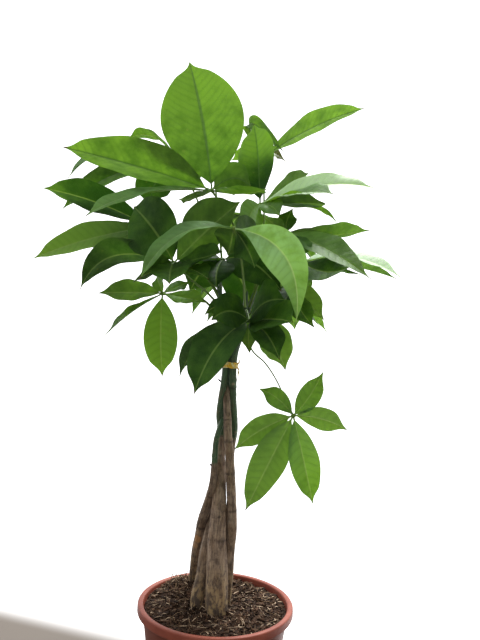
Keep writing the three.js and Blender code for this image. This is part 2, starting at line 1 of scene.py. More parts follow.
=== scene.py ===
"""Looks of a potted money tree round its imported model. Tables are in millimetres, meshes in metres."""

import math

import bpy
import numpy as np
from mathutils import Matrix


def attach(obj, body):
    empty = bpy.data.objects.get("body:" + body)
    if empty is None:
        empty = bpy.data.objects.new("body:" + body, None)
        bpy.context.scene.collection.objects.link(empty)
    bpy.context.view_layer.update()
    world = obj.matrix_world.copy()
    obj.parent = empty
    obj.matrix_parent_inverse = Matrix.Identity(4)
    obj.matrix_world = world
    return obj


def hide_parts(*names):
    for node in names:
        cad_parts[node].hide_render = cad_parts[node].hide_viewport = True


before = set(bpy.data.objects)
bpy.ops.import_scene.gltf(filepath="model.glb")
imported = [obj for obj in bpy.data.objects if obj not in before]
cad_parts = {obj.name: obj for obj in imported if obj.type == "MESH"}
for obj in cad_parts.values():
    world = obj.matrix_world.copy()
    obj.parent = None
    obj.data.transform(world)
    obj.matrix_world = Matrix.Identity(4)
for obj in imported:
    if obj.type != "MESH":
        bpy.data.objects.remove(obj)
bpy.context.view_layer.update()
MM = 0.001

# The viewpoint: its place and how far its picture is turned
EYE = np.array([12.6, -716.2, 460.7])
EYE_ROLL = math.radians(2.63)
LENS = 36.5625
SENSOR = 36.0

# The pot
POT_HEIGHT = 150
RIM_RADIUS = 85
RIM_INNER_RADIUS = 79
BAND_HEIGHT = 9.5
BAND_STEP = 5.7
BASE_RADIUS = 58
WALL = 1.8
BASE_THICKNESS = 3
EDGE_ROUND = 2
DRAIN_HOLES = 6
DRAIN_RADIUS = 4
DRAIN_RING_RADIUS = 38

# The soil
SOIL_LEVEL = 145
SOIL_LUMP = 0.8
SOIL_WAVES = [[0.21, 0.13, 0, 1], [-0.29, 0.17, 2, 0.8]]
SOIL_EDGE_BELOW_RIM = 3
SOIL_EDGE_DIP = 1
SOIL_TO_WALL = 1
MOUND = {"x": -34, "y": 32, "height": 14, "spread": 21}
GAP = 0.3

# The tie
TIE_Z = 411
TIE_HEIGHT = 7
TIE_ENDS = [
    [[11.6, -4.5, 410], [13.6, -5.4, 406], [13.2, -6.2, 399]],
    [[11.4, -5.2, 412], [13.2, -7.4, 413.5], [14.6, -8, 417]],
]

# The leaflets
BLADE_START = 0.05
# How far along a blade is widest, and how lean its ends are
BLADE_FORM = [0.56, 1.75]
BLADE_FOLD = math.radians(13)
BLADE_WAVE = 1.4
STALK_RADIUS = 0.85
STALK_ROOT_RADIUS = 1.35
THIN_STALK = {"leaf_hanging": 0.7}
HUB_RADIUS = 2.4

# Stems, from the root to the tip of the shoot: right, height, front and radius
STEMS = {
    "stem_front": [
        [3, 107, 16, 10], [2, 132, 16, 11.5], [1, 149, 16, 12.6], [0, 178, 13, 12],
        [-1, 205, 10, 10.6], [-1, 234, 8, 9.1], [-1, 262, 5, 7.6], [-1.5, 290, -2, 6.6],
        [-2, 311, -4, 5], [-2, 336, -7, 4.3], [-5, 355, 0, 3.9], [-4, 372, 2, 3.7],
        [-2, 391, 4, 3.5], [-1, 410, 4, 3.3], [0, 427, 5, 3.2], [-2, 447, 4, 3.1],
        [-7, 473, 3, 2.9], [-13, 498, 2, 2.2],
    ],
    "stem_right": [
        [11, 108, -4, 5], [11, 146, -3, 5.6], [13, 180, 0, 5.2], [13.4, 206, 2, 5.4], [14.4, 230, 4, 5.8],
        [12.4, 262, 5, 5.2], [10.5, 284, 6, 5.1], [8, 312, 8, 4.6], [5, 337, 10, 4.4],
        [4, 353, 9, 4.3], [2, 374, 5, 3.7], [3, 390, -3, 3.2], [3, 411, -3, 3], [5, 427, -4, 3],
        [13, 450, -6, 3], [21, 472, -8, 2.8], [29, 495, -9, 2.2],
    ],
    "stem_left_back": [
        [-27, 128, -30, 5], [-27, 161, -30, 4.6], [-26, 183, -28, 4.3], [-24, 204, -24, 5.2],
        [-21, 219, -20, 6], [-18, 239, -11, 5.8], [-13, 259, -2, 4.9], [-9, 280, 8, 3.9],
        [-8.3, 303, 9, 3.1], [-7.5, 327, 8, 3], [-4, 342, 6, 2.8], [1, 357, -2, 2.8],
        [6, 372, -8, 2.8], [7, 391, -10, 2.8], [7, 411, -9, 2.8], [10, 430, -14, 3],
        [16, 459, -28, 3], [21, 488, -42, 2.8], [23, 514, -52, 2.2],
    ],
    "stem_left": [
        [-20, 106, 6, 6], [-21, 143, 6, 6.6], [-20, 155, 5, 7.3], [-16, 177, 2, 6.6],
        [-14, 205, -2, 5.6], [-9.6, 231, -9, 5.1], [-5, 250, -15, 4.9], [0, 273, -18, 4.7],
        [0, 295, -19, 4.5], [-3, 328, -18, 4.1], [-3, 355, -14, 3.9], [-2, 374, -10, 3.6],
        [-1, 389, -10, 3.4], [-1, 410, -10, 3.1], [-2, 431, -15, 3.1], [-9, 465, -30, 3],
        [-11, 493, -42, 2.8], [-9, 520, -52, 2.2],
    ],
    "stem_back": [
        [8, 119, -22, 6], [7, 152, -22, 6.4], [6, 190, -20, 6.2], [9, 229, -17, 5.6],
        [12, 262, -15, 5], [9.3, 295, -12, 4.5], [9.5, 319, -8, 4.1], [12, 339, -3, 3.8],
        [11, 356, 0, 3.6], [9, 375, 1, 3.6], [8, 391, 3, 4.1], [7, 411, 3, 4.5], [9, 427, 3, 3.9],
        [14, 444, 4, 3.4], [17, 465, 4, 3], [18, 494, 3, 2.2],
    ],
}
# Where each stem's brown bark ends and its green skin begins
GREEN_FROM = {
    "stem_front": 332, "stem_right": 385, "stem_left_back": 304, "stem_left": 293, "stem_back": 330,
}
# How much darker the bark of a stem is than the others'
DARKER_BARK = {"stem_left_back": 0.3, "stem_left": 0.12, "stem_back": 0.15}
# Heights of dark rings left by old leaves
BARK_RINGS = {
    "stem_right": [252, 293, 329, 352], "stem_back": [386, 300], "stem_front": [222, 331], "stem_left": [221],
    "stem_left_back": [228, 268],
}
# Marks on the bark: the stem, height, angle round it from straight in front, size, how far it stands
# out, how pale it is (dark if below 0) and how orange
MARKS = [
    ["stem_left_back", 222, -22, 4.2, 0.2, 0.85, 0.35],
    ["stem_left_back", 214, -26, 6.0, -0.4, 0.5, 0.95],
    ["stem_left_back", 205, -36, 4.4, 0.1, 0.6, 0.6],
    ["stem_front", 313, -15, 2.6, 1.1, 0.7, 0.05],
    ["stem_front", 247, 4, 2.2, 0.5, -0.8, 0],
    ["stem_front", 188, -25, 4.5, -0.3, 0.2, 0.05],
    ["stem_right", 353, 20, 2.2, 0.9, 0.6, 0.1],
    ["stem_right", 292, 0, 2.4, 0.7, 0.3, 0.05],
    ["stem_back", 391, 5, 2.2, 1.0, 0.6, 0.0],
    ["stem_left", 176, -20, 3.4, 0.7, 0.2, 0.05],
    ["stem_left", 262, 170, 3.2, 0.8, 0.5, 0.05],
    ["stem_back", 232, 160, 3.6, 0.9, 0.4, 0.2],
    ["stem_left_back", 246, 150, 3.0, 0.7, 0.5, 0.2],
]

# Leaves in the front view: the stem each grows from and how far along it, how light it is (its own tone
# and painted light and shade), the places that its stalk passes, its hub, and then its leaflets. Each has the
# middle and the tip of its rib, its width, its turn about the rib from flat-on to the viewer (a positive turn
# shows its top), and where it isn't of the usual form, how far along it is widest and how lean its ends are
FRONT_LEAVES = {
    "leaf_crown_front": [
        "stem_back", 0.985, 0.85,
        [[6, 543, 14], [0, 566, 20], [-13, 585, 26]], [-25, 602, 30],
        [[-37, 671, 38], [-56, 742, 30], 88, 0, 0.57, 1.88],
        [[-101, 623, 52], [-191, 642, 75], 77, -57],
        [[-101, 595, 95], [-163, 567, 118], 34, 76],
        [[6, 600, 78], [35, 606, 122], 30, 108],
        [[-3, 616, 22], [18, 608, 26], 36, 0],
        [[-41, 594, 68], [-61, 590, 100], 18, -62],
    ],
    "leaf_left_far": [
        "stem_front", 0.965, 0.55,
        [[-34, 516, 0], [-66, 545, 2]], [-91, 559, 5],
        [[-151, 583, 15], [-211, 596, 25], 50, -53],
        [[-157, 543, 20], [-218, 518, 40], 39, -46],
        [[-126, 545, -12], [-152, 517, -32], 34, -30],
        [[-90, 571, -35], [-87, 582, -78], 40, -40],
    ],
    "leaf_left_front": [
        "stem_front", 0.93, 0.4,
        [[-26, 490, 32], [-45, 504, 55]], [-63, 520, 75],
        [[-86, 555, 72], [-110, 580, 36], 60, -20],
        [[-30, 556, 60], [7, 591, 48], 60, -40],
        [[-87, 510, 108], [-105, 499, 135], 34, -65],
        [[-66, 513, 120], [-67, 497, 158], 40, 20],
        [[-43, 514, 108], [-24, 504, 130], 30, 60],
        [[-35, 526, 95], [-10, 535, 118], 36, 62],
        [[-130, 525, 50], [-165, 486, 64], 44, -46, 0.5, 2],
    ],
    "leaf_front": [
        "stem_back", 0.95, 0.6,
        [[13, 516, 62], [7, 543, 95]], [1, 561, 108],
        [[-57, 552, 128], [-100, 500, 138], 34, 66],
        [[60, 532, 138], [74, 456, 142], 38, -8, 0.48, 2.5],
        [[16, 541, 92], [26, 519, 96], 38, 30],
        [[17, 556, 78], [33, 548, 46], 38, 20],
        [[-1, 547, 84], [-4, 531, 56], 38, 10],
    ],
    "leaf_right_top": [
        "stem_right", 0.985, 0.75,
        [[29, 525, -2], [31, 561, 0]], [29, 589, 0],
        [[89, 612, 30], [153, 613, 45], 38, 63],
        [[24, 643, -16], [18, 677, -28], 45, -25, 0.5, 1.6],
        [[74, 603, 45], [109, 604, 70], 38, 80],
        [[76, 593, 38], [101, 593, 62], 34, -62],
        [[82, 589, 20], [114, 573, 26], 28, -70],
        [[42, 587, 30], [51, 577, 55], 24, 30],
        [[60, 610, -35], [81, 626, -60], 30, -50],
        [[19, 578, 32], [16, 554, 50], 30, -20],
    ],
    "leaf_top_back": [
        "stem_left_back", 0.99, 0.7,
        [[33, 550, -58], [33, 594, -66]], [29, 640, -72],
        [[82, 676, -88], [139, 700, -92], 48, -60],
        [[14, 678, -68], [53, 647, -50], 22, 50],
        [[39, 647, -98], [55, 637, -118], 18, 40],
        [[14, 641, -92], [-5, 636, -118], 26, -40],
        [[28, 649, -110], [28, 658, -145], 36, -30],
    ],
    "leaf_right": [
        "stem_right", 0.945, 0.5,
        [[40, 526, 30]], [59, 560, 55],
        [[106, 559, 46], [151, 566, 40], 38, -66],
        [[108, 541, 84], [155, 512, 98], 42, 56, 0.46, 2],
        [[59, 571, 40], [65, 586, 26], 20, 0],
        [[47, 567, 58], [35, 575, 66], 18, -20],
        [[64, 545, 80], [69, 525, 98], 42, 20],
        [[76, 552, 22], [91, 539, -12], 42, -40],
    ],
    "leaf_right_low": [
        "stem_left_back", 0.935, 0.45,
        [[52, 509, -28]], [76, 528, -20],
        [[133, 535, -14], [187, 516, -5], 44, 74],
        [[131, 526, -36], [183, 514, -42], 36, -78],
        [[104, 518, 22], [131, 525, 42], 42, 46],
        [[111, 521, 2], [143, 517, 8], 24, 78],
        [[104, 534, -52], [133, 542, -86], 40, -74],
        [[76, 507, -50], [79, 487, -72], 30, -20],
    ],
    "leaf_right_under": [
        "stem_right", 0.9, 0.6,
        [[46, 493, 2]], [67, 503, 10],
        [[83, 487, 10], [105, 465, 6], 32, -30],
        [[76, 479, 32], [95, 456, 42], 27, 30],
        [[62, 485, 34], [57, 465, 50], 38, 20],
        [[67, 493, -30], [68, 478, -62], 38, -30],
    ],
    "leaf_low_front": [
        "stem_back", 0.91, 0.3,
        [[19, 472, 38]], [23, 460, 68],
        [[49, 438, 84], [65, 408, 86], 40, -35],
        [[42, 447, 102], [58, 419, 114], 32, 30],
        [[38, 480, 96], [61, 485, 118], 46, 50],
        [[48, 463, 106], [71, 461, 134], 46, 50],
        [[-10, 432, 98], [-34, 377, 108], 52, 40],
        [[-26, 436, 68], [-51, 395, 72], 42, -68],
        [[23, 441, 78], [25, 425, 84], 17, 0],
        [[1, 470, 94], [-19, 459, 120], 36, 15],
        [[-6, 475, 60], [-27, 464, 42], 18, -20],
    ],
    "leaf_hanging": [
        "stem_back", 0.86, 0.55,
        [[21, 437, 16], [30, 425, 30], [42, 415, 38], [54, 399, 46], [65, 379, 54]], [76, 358, 60],
        [[58, 376, 58], [37, 386, 50], 20, 0],
        [[92, 379, 62], [107, 408, 62], 23, 0],
        [[107, 356, 66], [136, 345, 64], 24, -10],
        [[89, 312, 64], [102, 262, 58], 31, 10],
        [[54, 310, 64], [28, 251, 58], 37, -10],
        [[43, 342, 56], [13, 318, 46], 27, -15],
    ],
    "leaf_left_low": [
        "stem_front", 0.895, 0.6,
        [[-33, 483, 8], [-55, 482, 14]], [-74, 486, 20],
        [[-107, 486, 30], [-145, 483, 38], 31, -45],
        [[-106, 465, 48], [-135, 437, 60], 26, 80],
        [[-74, 440, 40], [-70, 395, 40], 36, 0],
        [[-58, 494, 8], [-45, 500, -6], 16, 40],
        [[-48, 482, 44], [-27, 478, 62], 24, 50],
        [[-78, 496, 14], [-81, 505, -8], 16, -30],
    ],
    "leaf_left_back": [
        "stem_left", 0.96, 0.5,
        [[-26, 545, -50], [-42, 594, -56]], [-66, 634, -58],
        [[-91, 658, -78], [-120, 655, -98], 26, -70],
        [[-137, 641, -60], [-184, 608, -50], 34, 74],
        [[-135, 614, -52], [-189, 573, -42], 42, -55],
        [[-88, 606, -76], [-91, 582, -82], 46, -10],
        [[-54, 619, -100], [-47, 606, -142], 40, -30],
    ],
    "leaf_inner": [
        "stem_left", 0.9, 0.2,
        [[-14, 503, -22]], [-9, 526, 6],
        [[-15, 514, 34], [-15, 495, 52], 38, 12],
        [[-32, 530, 24], [-52, 521, 38], 34, 62],
        [[22, 525, 32], [57, 494, 50], 46, 18],
        [[13, 503, -14], [26, 466, -22], 50, -12],
        [[-31, 513, -10], [-44, 488, -18], 40, 4],
    ],
}

# Leaves at the back: the stem, how far along it, how far each leaf is turned from straight back, how
# far behind the pot's axis its hub is, the hub's height, the fan, the droop, the count and the
# longest leaflet
BACK_LEAVES = {
    "leaf_back_low": ["stem_left", 0.86, 2, 84, 479, 92, 26, 4, 78],
    "leaf_back_low_right": ["stem_left_back", 0.86, 43, 88, 478, 130, 22, 4, 76],
    "leaf_back_middle": ["stem_left_back", 0.9, 4, 120, 536, 240, 44, 5, 112],
    "leaf_back_left": ["stem_left", 0.9, -50, 108, 566, 200, 24, 5, 84],
    "leaf_back_right": ["stem_left_back", 0.965, 33, 112, 566, 170, 36, 5, 76],
    "leaf_back_high": ["stem_left", 0.92, 6, 122, 598, 110, 24, 5, 100],
    "leaf_back_top": ["stem_left", 0.99, -22, 96, 686, 80, 24, 3, 80],
}
BACK_STALK_BEND = 0.45
BACK_STALK_RISE = 10
BACK_RISE = 0.14
BACK_LEAFLET_WIDTH = 0.36
BACK_SIDE_LENGTH = 0.68
# Single leaflets that differ from their leaf: how much lighter (partly own tone, partly painted light and
# shade), how much painted sheen, how withered, and how much lighter the tip is than the base as a painted
# shade, up to the last that isn't 0
LEAFLET_LOOKS = {
    "leaf_crown_front": {
        0: [-0.04, 0.08, 0, 0.6], 1: [-0.3, 0.04, 0, 0.1], 2: [-0.1, 0.3, 0, 0.3], 3: [-0.3], 4: [-0.4],
        5: [-0.2],
    },
    "leaf_left_far": {0: [-0.45, 0.04, 0, 1.0], 1: [0.6, 0.1, 0, 0.1]},
    "leaf_left_front": {0: [-0.05, 0.04], 1: [0.2, 0.08], 6: [-0.15, 0.14]},
    "leaf_front": {
        0: [0.1, 0.26, 0, 0.3], 1: [0.3, 1.0, 0, -0.2], 2: [-0.2], 3: [-0.2], 4: [-0.2],
    },
    "leaf_right_top": {0: [0.3, 1.9, 0, 0.2], 1: [-0.1, 0, 0, 2.2], 7: [0.6]},
    "leaf_top_back": {2: [0.2, 0, 0.7]},
    "leaf_right": {1: [0.2, 0.1, 0.1, -0.2]},
    "leaf_left_low": {2: [0.4, 0.06], 4: [0.3]},
    "leaf_hanging": {
        0: [0.2, 0.12], 1: [0.25, 0.14], 2: [0.4, 0.3], 3: [0.35, 0.25], 4: [0.2, 0.16], 5: [0.25, 0.2],
    },
    "leaf_right_low": {0: [0.3, 1.8, 0, 0.2], 2: [-0.1]},
    "leaf_right_under": {0: [0.35, 0, 0, 0.2], 1: [-0.2], 2: [-0.6]},
    "leaf_low_front": {0: [0.4, 0.5, 0, 0.4], 4: [0, 0.06], 6: [0.35, 0.3, 0.22]},
    "leaf_left_back": {1: [0, 0.6], 3: [-0.3, 0.05]},
}
# Leaflets whose middle rib is darker than the blade, as light comes through them
DARK_RIBS = {
    "leaf_crown_front": [0, 1, 4], "leaf_right_top": [1], "leaf_top_back": [0, 1], "leaf_left_back": [2, 3],
}
BACK_TONES = [0.45, 0.6, 0.5]
# Dead ends of twigs on a leaf's stalk, and stubs of old leaves on stems
TWIGS = {"leaf_crown_front": [[[-11.5, 578.7, 22], [-29, 577.4, 20], [-45, 581, 18]]]}
STUBS = {
    "stem_left": [[-1.5, 391.5, -9], [-5, 392, -9], [-8.4, 394.4, -9]],
    "stem_left_back": [[-8, 297.5, 9], [-11, 298.8, 9], [-13, 300.6, 9]],
}
LEAFLET_SEED_STEP = 0.37
FIRST_BACK_SEED = 20


# Small helpers for points and numbers

def unit(vectors):
    return vectors / np.linalg.norm(vectors, axis=-1, keepdims=True)


def smooth(low, high, value):
    """0 below low, 1 above high, and an even bend between"""
    share = np.clip((value - low) / (high - low), 0, 1)
    return share * share * (3 - 2 * share)


def circle(sides):
    """Even angles all round"""
    return np.linspace(0, 2 * math.pi, sides, endpoint=False)


def round_points(radius, angle, z):
    """Points at a radius, an angle and a height, each a number or an array"""
    return np.stack(np.broadcast_arrays(radius * np.cos(angle), radius * np.sin(angle), z), -1)


def place(row):
    """The place in space that the front view shows at right, height and front"""
    on_plane = np.array([row[0], 0.0, row[1]])
    return on_plane + (EYE - on_plane) * row[2] / -EYE[1]


def smooth_curve(points, steps_between):
    """A centripetal Catmull-Rom curve through points, with its parameter in spans"""
    points = np.asarray(points, float)
    ends = np.vstack([2 * points[0] - points[1], points, 2 * points[-1] - points[-2]])
    spans = len(points) - 1
    params = np.linspace(0, spans, spans * steps_between + 1)
    span = np.minimum(params.astype(int), spans - 1)
    part = (params - span)[:, None]
    a, b, c, d = (ends[span + k] for k in range(4))
    ab, bc, cd = (np.linalg.norm(q - p, axis=1, keepdims=True) ** 0.5 for p, q in ((a, b), (b, c), (c, d)))
    start = ((b - a) / ab - (c - a) / (ab + bc) + (c - b) / bc) * bc
    end = ((c - b) / bc - (d - b) / (bc + cd) + (d - c) / cd) * bc
    square = 3 * (c - b) - 2 * start - end
    cube = 2 * (b - c) + start + end
    return b + start * part + square * part**2 + cube * part**3, params


def arc_lengths(points):
    return np.concatenate([[0], np.cumsum(np.linalg.norm(np.diff(points, axis=0), axis=1))])


def point_at(points, share):
    """The point at a share of a line's length"""
    lengths = arc_lengths(points)
    return np.array([np.interp(share * lengths[-1], lengths, points[:, k]) for k in range(3)])


# Faces, as blocks of rows of point numbers

def grid_faces(rows, columns, closed):
    """The squares of a grid of points, its columns joined round if closed"""
    row, column = np.meshgrid(np.arange(rows - 1), np.arange(columns - (0 if closed else 1)), indexing="ij")
    a = row * columns + column
    b = row * columns + (column + 1) % columns
    return np.stack([a, b, b + columns, a + columns], -1).reshape(-1, 4)


def tube_faces(rows, sides):
    """The squares of a tube and the faces that close its ends"""
    around = np.arange(sides)
    return [grid_faces(rows, sides, True), around[::-1][None], ((rows - 1) * sides + around)[None]]


def slab_faces(top):
    """All faces of a slab, from those of its upper side, whose points are numbered round its edge"""
    count = top.max() + 1
    around = np.arange(count)
    after = np.roll(around, -1)
    return [top, top[:, ::-1] + count, np.stack([after, around, around + count, after + count], -1)]


def new_object(name, data):
    made = bpy.data.objects.new(name, data)
    bpy.context.scene.collection.objects.link(made)
    return made


class Piece:
    """Collects the points, faces and point values of one piece, in millimetres"""

    def __init__(self, name):
        self.name = name
        self.points = []
        self.corners = []
        self.sides = []
        self.looks = []
        self.values = {}
        self.count = 0

    def add(self, points, faces, look=0, **values):
        """Adds points and blocks of faces, where values gives a number or three for each point"""
        points = np.reshape(points, (-1, 3))
        for block in faces:
            self.corners.append((block + self.count).ravel())
            self.sides.append(np.full(len(block), block.shape[1]))
            self.looks.append(np.full(len(block), look))
        for key, value in values.items():
            width = (3,) if np.shape(value)[-1:] == (3,) else ()
            shown = np.broadcast_to(np.reshape(value, (-1, *width)), (len(points), *width))
            self.values.setdefault(key, []).append((self.count, shown))
        self.points.append(points)
        self.count += len(points)

    def build(self, materials, replaced=(), sharp=None):
        """Makes the object, riding on the root body"""
        mesh = bpy.data.meshes.new(self.name)
        points = np.concatenate(self.points) * MM
        corners = np.concatenate(self.corners)
        sides = np.concatenate(self.sides)
        mesh.vertices.add(len(points))
        mesh.vertices.foreach_set("co", points.ravel())
        mesh.loops.add(len(corners))
        mesh.loops.foreach_set("vertex_index", corners.astype(np.int32))
        mesh.polygons.add(len(sides))
        mesh.polygons.foreach_set("loop_start", (np.cumsum(sides) - sides).astype(np.int32))
        mesh.polygons.foreach_set("material_index", np.concatenate(self.looks).astype(np.int32))
        mesh.update(calc_edges=True)
        mesh.validate()
        for key, parts in self.values.items():
            vector = parts[0][1].ndim == 2
            whole = np.zeros((len(points), 3) if vector else len(points))
            for first, value in parts:
                whole[first:first + len(value)] = value
            layer = mesh.attributes.new(key, "FLOAT_VECTOR" if vector else "FLOAT", "POINT")
            layer.data.foreach_set("vector" if vector else "value", whole.ravel())
        mesh.shade_smooth()
        if sharp is not None:
            mesh.set_sharp_from_angle(angle=math.radians(sharp))
        for material in materials:
            mesh.materials.append(material)
        made = new_object(self.name, mesh)
        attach(made, "root")
        if replaced:
            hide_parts(*replaced)
        return made


def ring_directions(centres, sides):
    """Outward directions in rings along a line, turned as little as they can be"""
    along = unit(np.gradient(centres, axis=0))
    across = np.empty_like(along)
    last = np.array([1.0, 0.0, 0.0])
    for i, direction in enumerate(along):
        last = last - last.dot(direction) * direction
        last /= np.linalg.norm(last)
        across[i] = last
    third = np.cross(along, across)
    angle = circle(sides)[:, None]
    return across[:, None] * np.cos(angle) + third[:, None] * np.sin(angle)


def add_tube(piece, centres, radii, sides, look=0, **values):
    """A closed round tube: radii is one number for each ring, or for each point of each ring"""
    radii = np.reshape(radii, (len(centres), -1, 1))
    points = centres[:, None] + ring_directions(centres, sides) * radii
    piece.add(points, tube_faces(len(centres), sides), look, **values)


def add_ball(piece, centre, radius, look=0, rings=8, sides=12, **values):
    """A round knob"""
    tilt = np.linspace(0, math.pi, rings + 1)[1:-1, None]
    body = round_points(np.sin(tilt), circle(sides), np.cos(tilt)).reshape(-1, 3)
    points = np.vstack([body, [[0, 0, 1], [0, 0, -1]]]) * radius + centre
    around = np.arange(sides)
    after = np.roll(around, -1)
    foot = (rings - 2) * sides
    caps = [
        np.stack([np.full(sides, len(body)), around, after], -1),
        np.stack([np.full(sides, len(body) + 1), foot + after, foot + around], -1),
    ]
    piece.add(points, [grid_faces(rings - 1, sides, True)[:, ::-1]] + caps, look, **values)


# Materials

def colour(code):
    """A colour code as the linear colour that shaders take"""
    channels = [int(code[i:i + 2], 16) / 255 for i in (1, 3, 5)]
    return tuple(((c + 0.055) / 1.055) ** 2.4 if c > 0.04045 else c / 12.92 for c in channels) + (1.0,)


class Look:
    """Makes the nodes of a material or a world in short lines"""

    def __init__(self, name, store="materials"):
        self.made = getattr(bpy.data, store).new(name)
        self.made.use_nodes = True
        self.tree = self.made.node_tree
        self.tree.nodes.clear()

    def add(self, kind, inputs=(), **settings):
        node = self.tree.nodes.new("ShaderNode" + kind)
        for key, value in settings.items():
            setattr(node, key, value)
        for key, value in dict(inputs).items():
            if isinstance(value, bpy.types.NodeSocket):
                self.tree.links.new(value, node.inputs[key])
            else:
                node.inputs[key].default_value = value
        return node

    def math(self, operation, a, b=0.0, c=0.0):
        return self.add("Math", {0: a, 1: b, 2: c}, operation=operation).outputs[0]

    def times(self, value, *factors):
        for factor in factors:
            value = self.math("MULTIPLY", value, factor)
        return value

    def plus(self, value, *others):
        for other in others:
            value = self.math("ADD", value, other)
        return value

    def scaled(self, value, factor, start):
        """The start plus the value times a factor"""
        return self.math("MULTIPLY_ADD", value, factor, start)

    def step(self, value, low, high, to_low=0.0, to_high=1.0):
        """A soft step from low to high"""
        inputs = {"Value": value, "From Min": low, "From Max": high, "To Min": to_low, "To Max": to_high}
        return self.add("MapRange", inputs, interpolation_type="SMOOTHSTEP").outputs[0]

    def mix(self, share, a, b):
        return self.add("Mix", {0: share, 6: a, 7: b}, data_type="RGBA").outputs[2]

    def between(self, share, first, second):
        """A colour a share of the way from one colour code to another"""
        return self.mix(share, colour(first), colour(second))

    def layers(self, base, *layers):
        """The base under layers, each a colour, its share, and what the share is multiplied by, if at all"""
        for shade, share, *factor in layers:
            over = colour(shade) if isinstance(shade, str) else shade
            base = self.mix(self.times(share, *factor), base, over)
        return base

    def scaled_place(self, vector, scale):
        """A place stretched by a scale with three parts, and the scale that is left"""
        if isinstance(scale, tuple):
            return self.add("VectorMath", {0: vector, 1: scale}, operation="MULTIPLY").outputs[0], 1.0
        return vector, scale

    def noise(self, vector, scale, detail=3.0, roughness=0.55):
        vector, scale = self.scaled_place(vector, scale)
        inputs = {"Vector": vector, "Scale": scale, "Detail": detail, "Roughness": roughness}
        return self.add("TexNoise", inputs).outputs["Fac"]

    def cells(self, vector, scale, feature="F1"):
        vector, scale = self.scaled_place(vector, scale)
        return self.add("TexVoronoi", {"Vector": vector, "Scale": scale}, feature=feature).outputs["Distance"]

    def attribute(self, name, output="Vector"):
        return self.add("Attribute", attribute_name=name).outputs[output]

    def parts(self, vector):
        return self.add("SeparateXYZ", {0: vector}).outputs

    def place(self):
        return self.add("TexCoord").outputs["Object"]

    def bump(self, height, distance, strength):
        inputs = {"Height": height, "Distance": distance, "Strength": strength}
        return self.add("Bump", inputs).outputs[0]

    def shader(self, base, rough, normal, specular=0.5, metallic=0.0):
        inputs = {"Base Color": base, "Roughness": rough, "Normal": normal, "Metallic": metallic}
        return self.add("BsdfPrincipled", {**inputs, "Specular IOR Level": specular}).outputs[0]

    def finish(self, surface):
        self.add("OutputMaterial", {"Surface": surface})
        return self.made


VEIN_SPACING = 7.8
VEIN_SLANT = 0.42
VEIN_BEND = 0.009
LIGHT_THROUGH_LEAF = 0.47


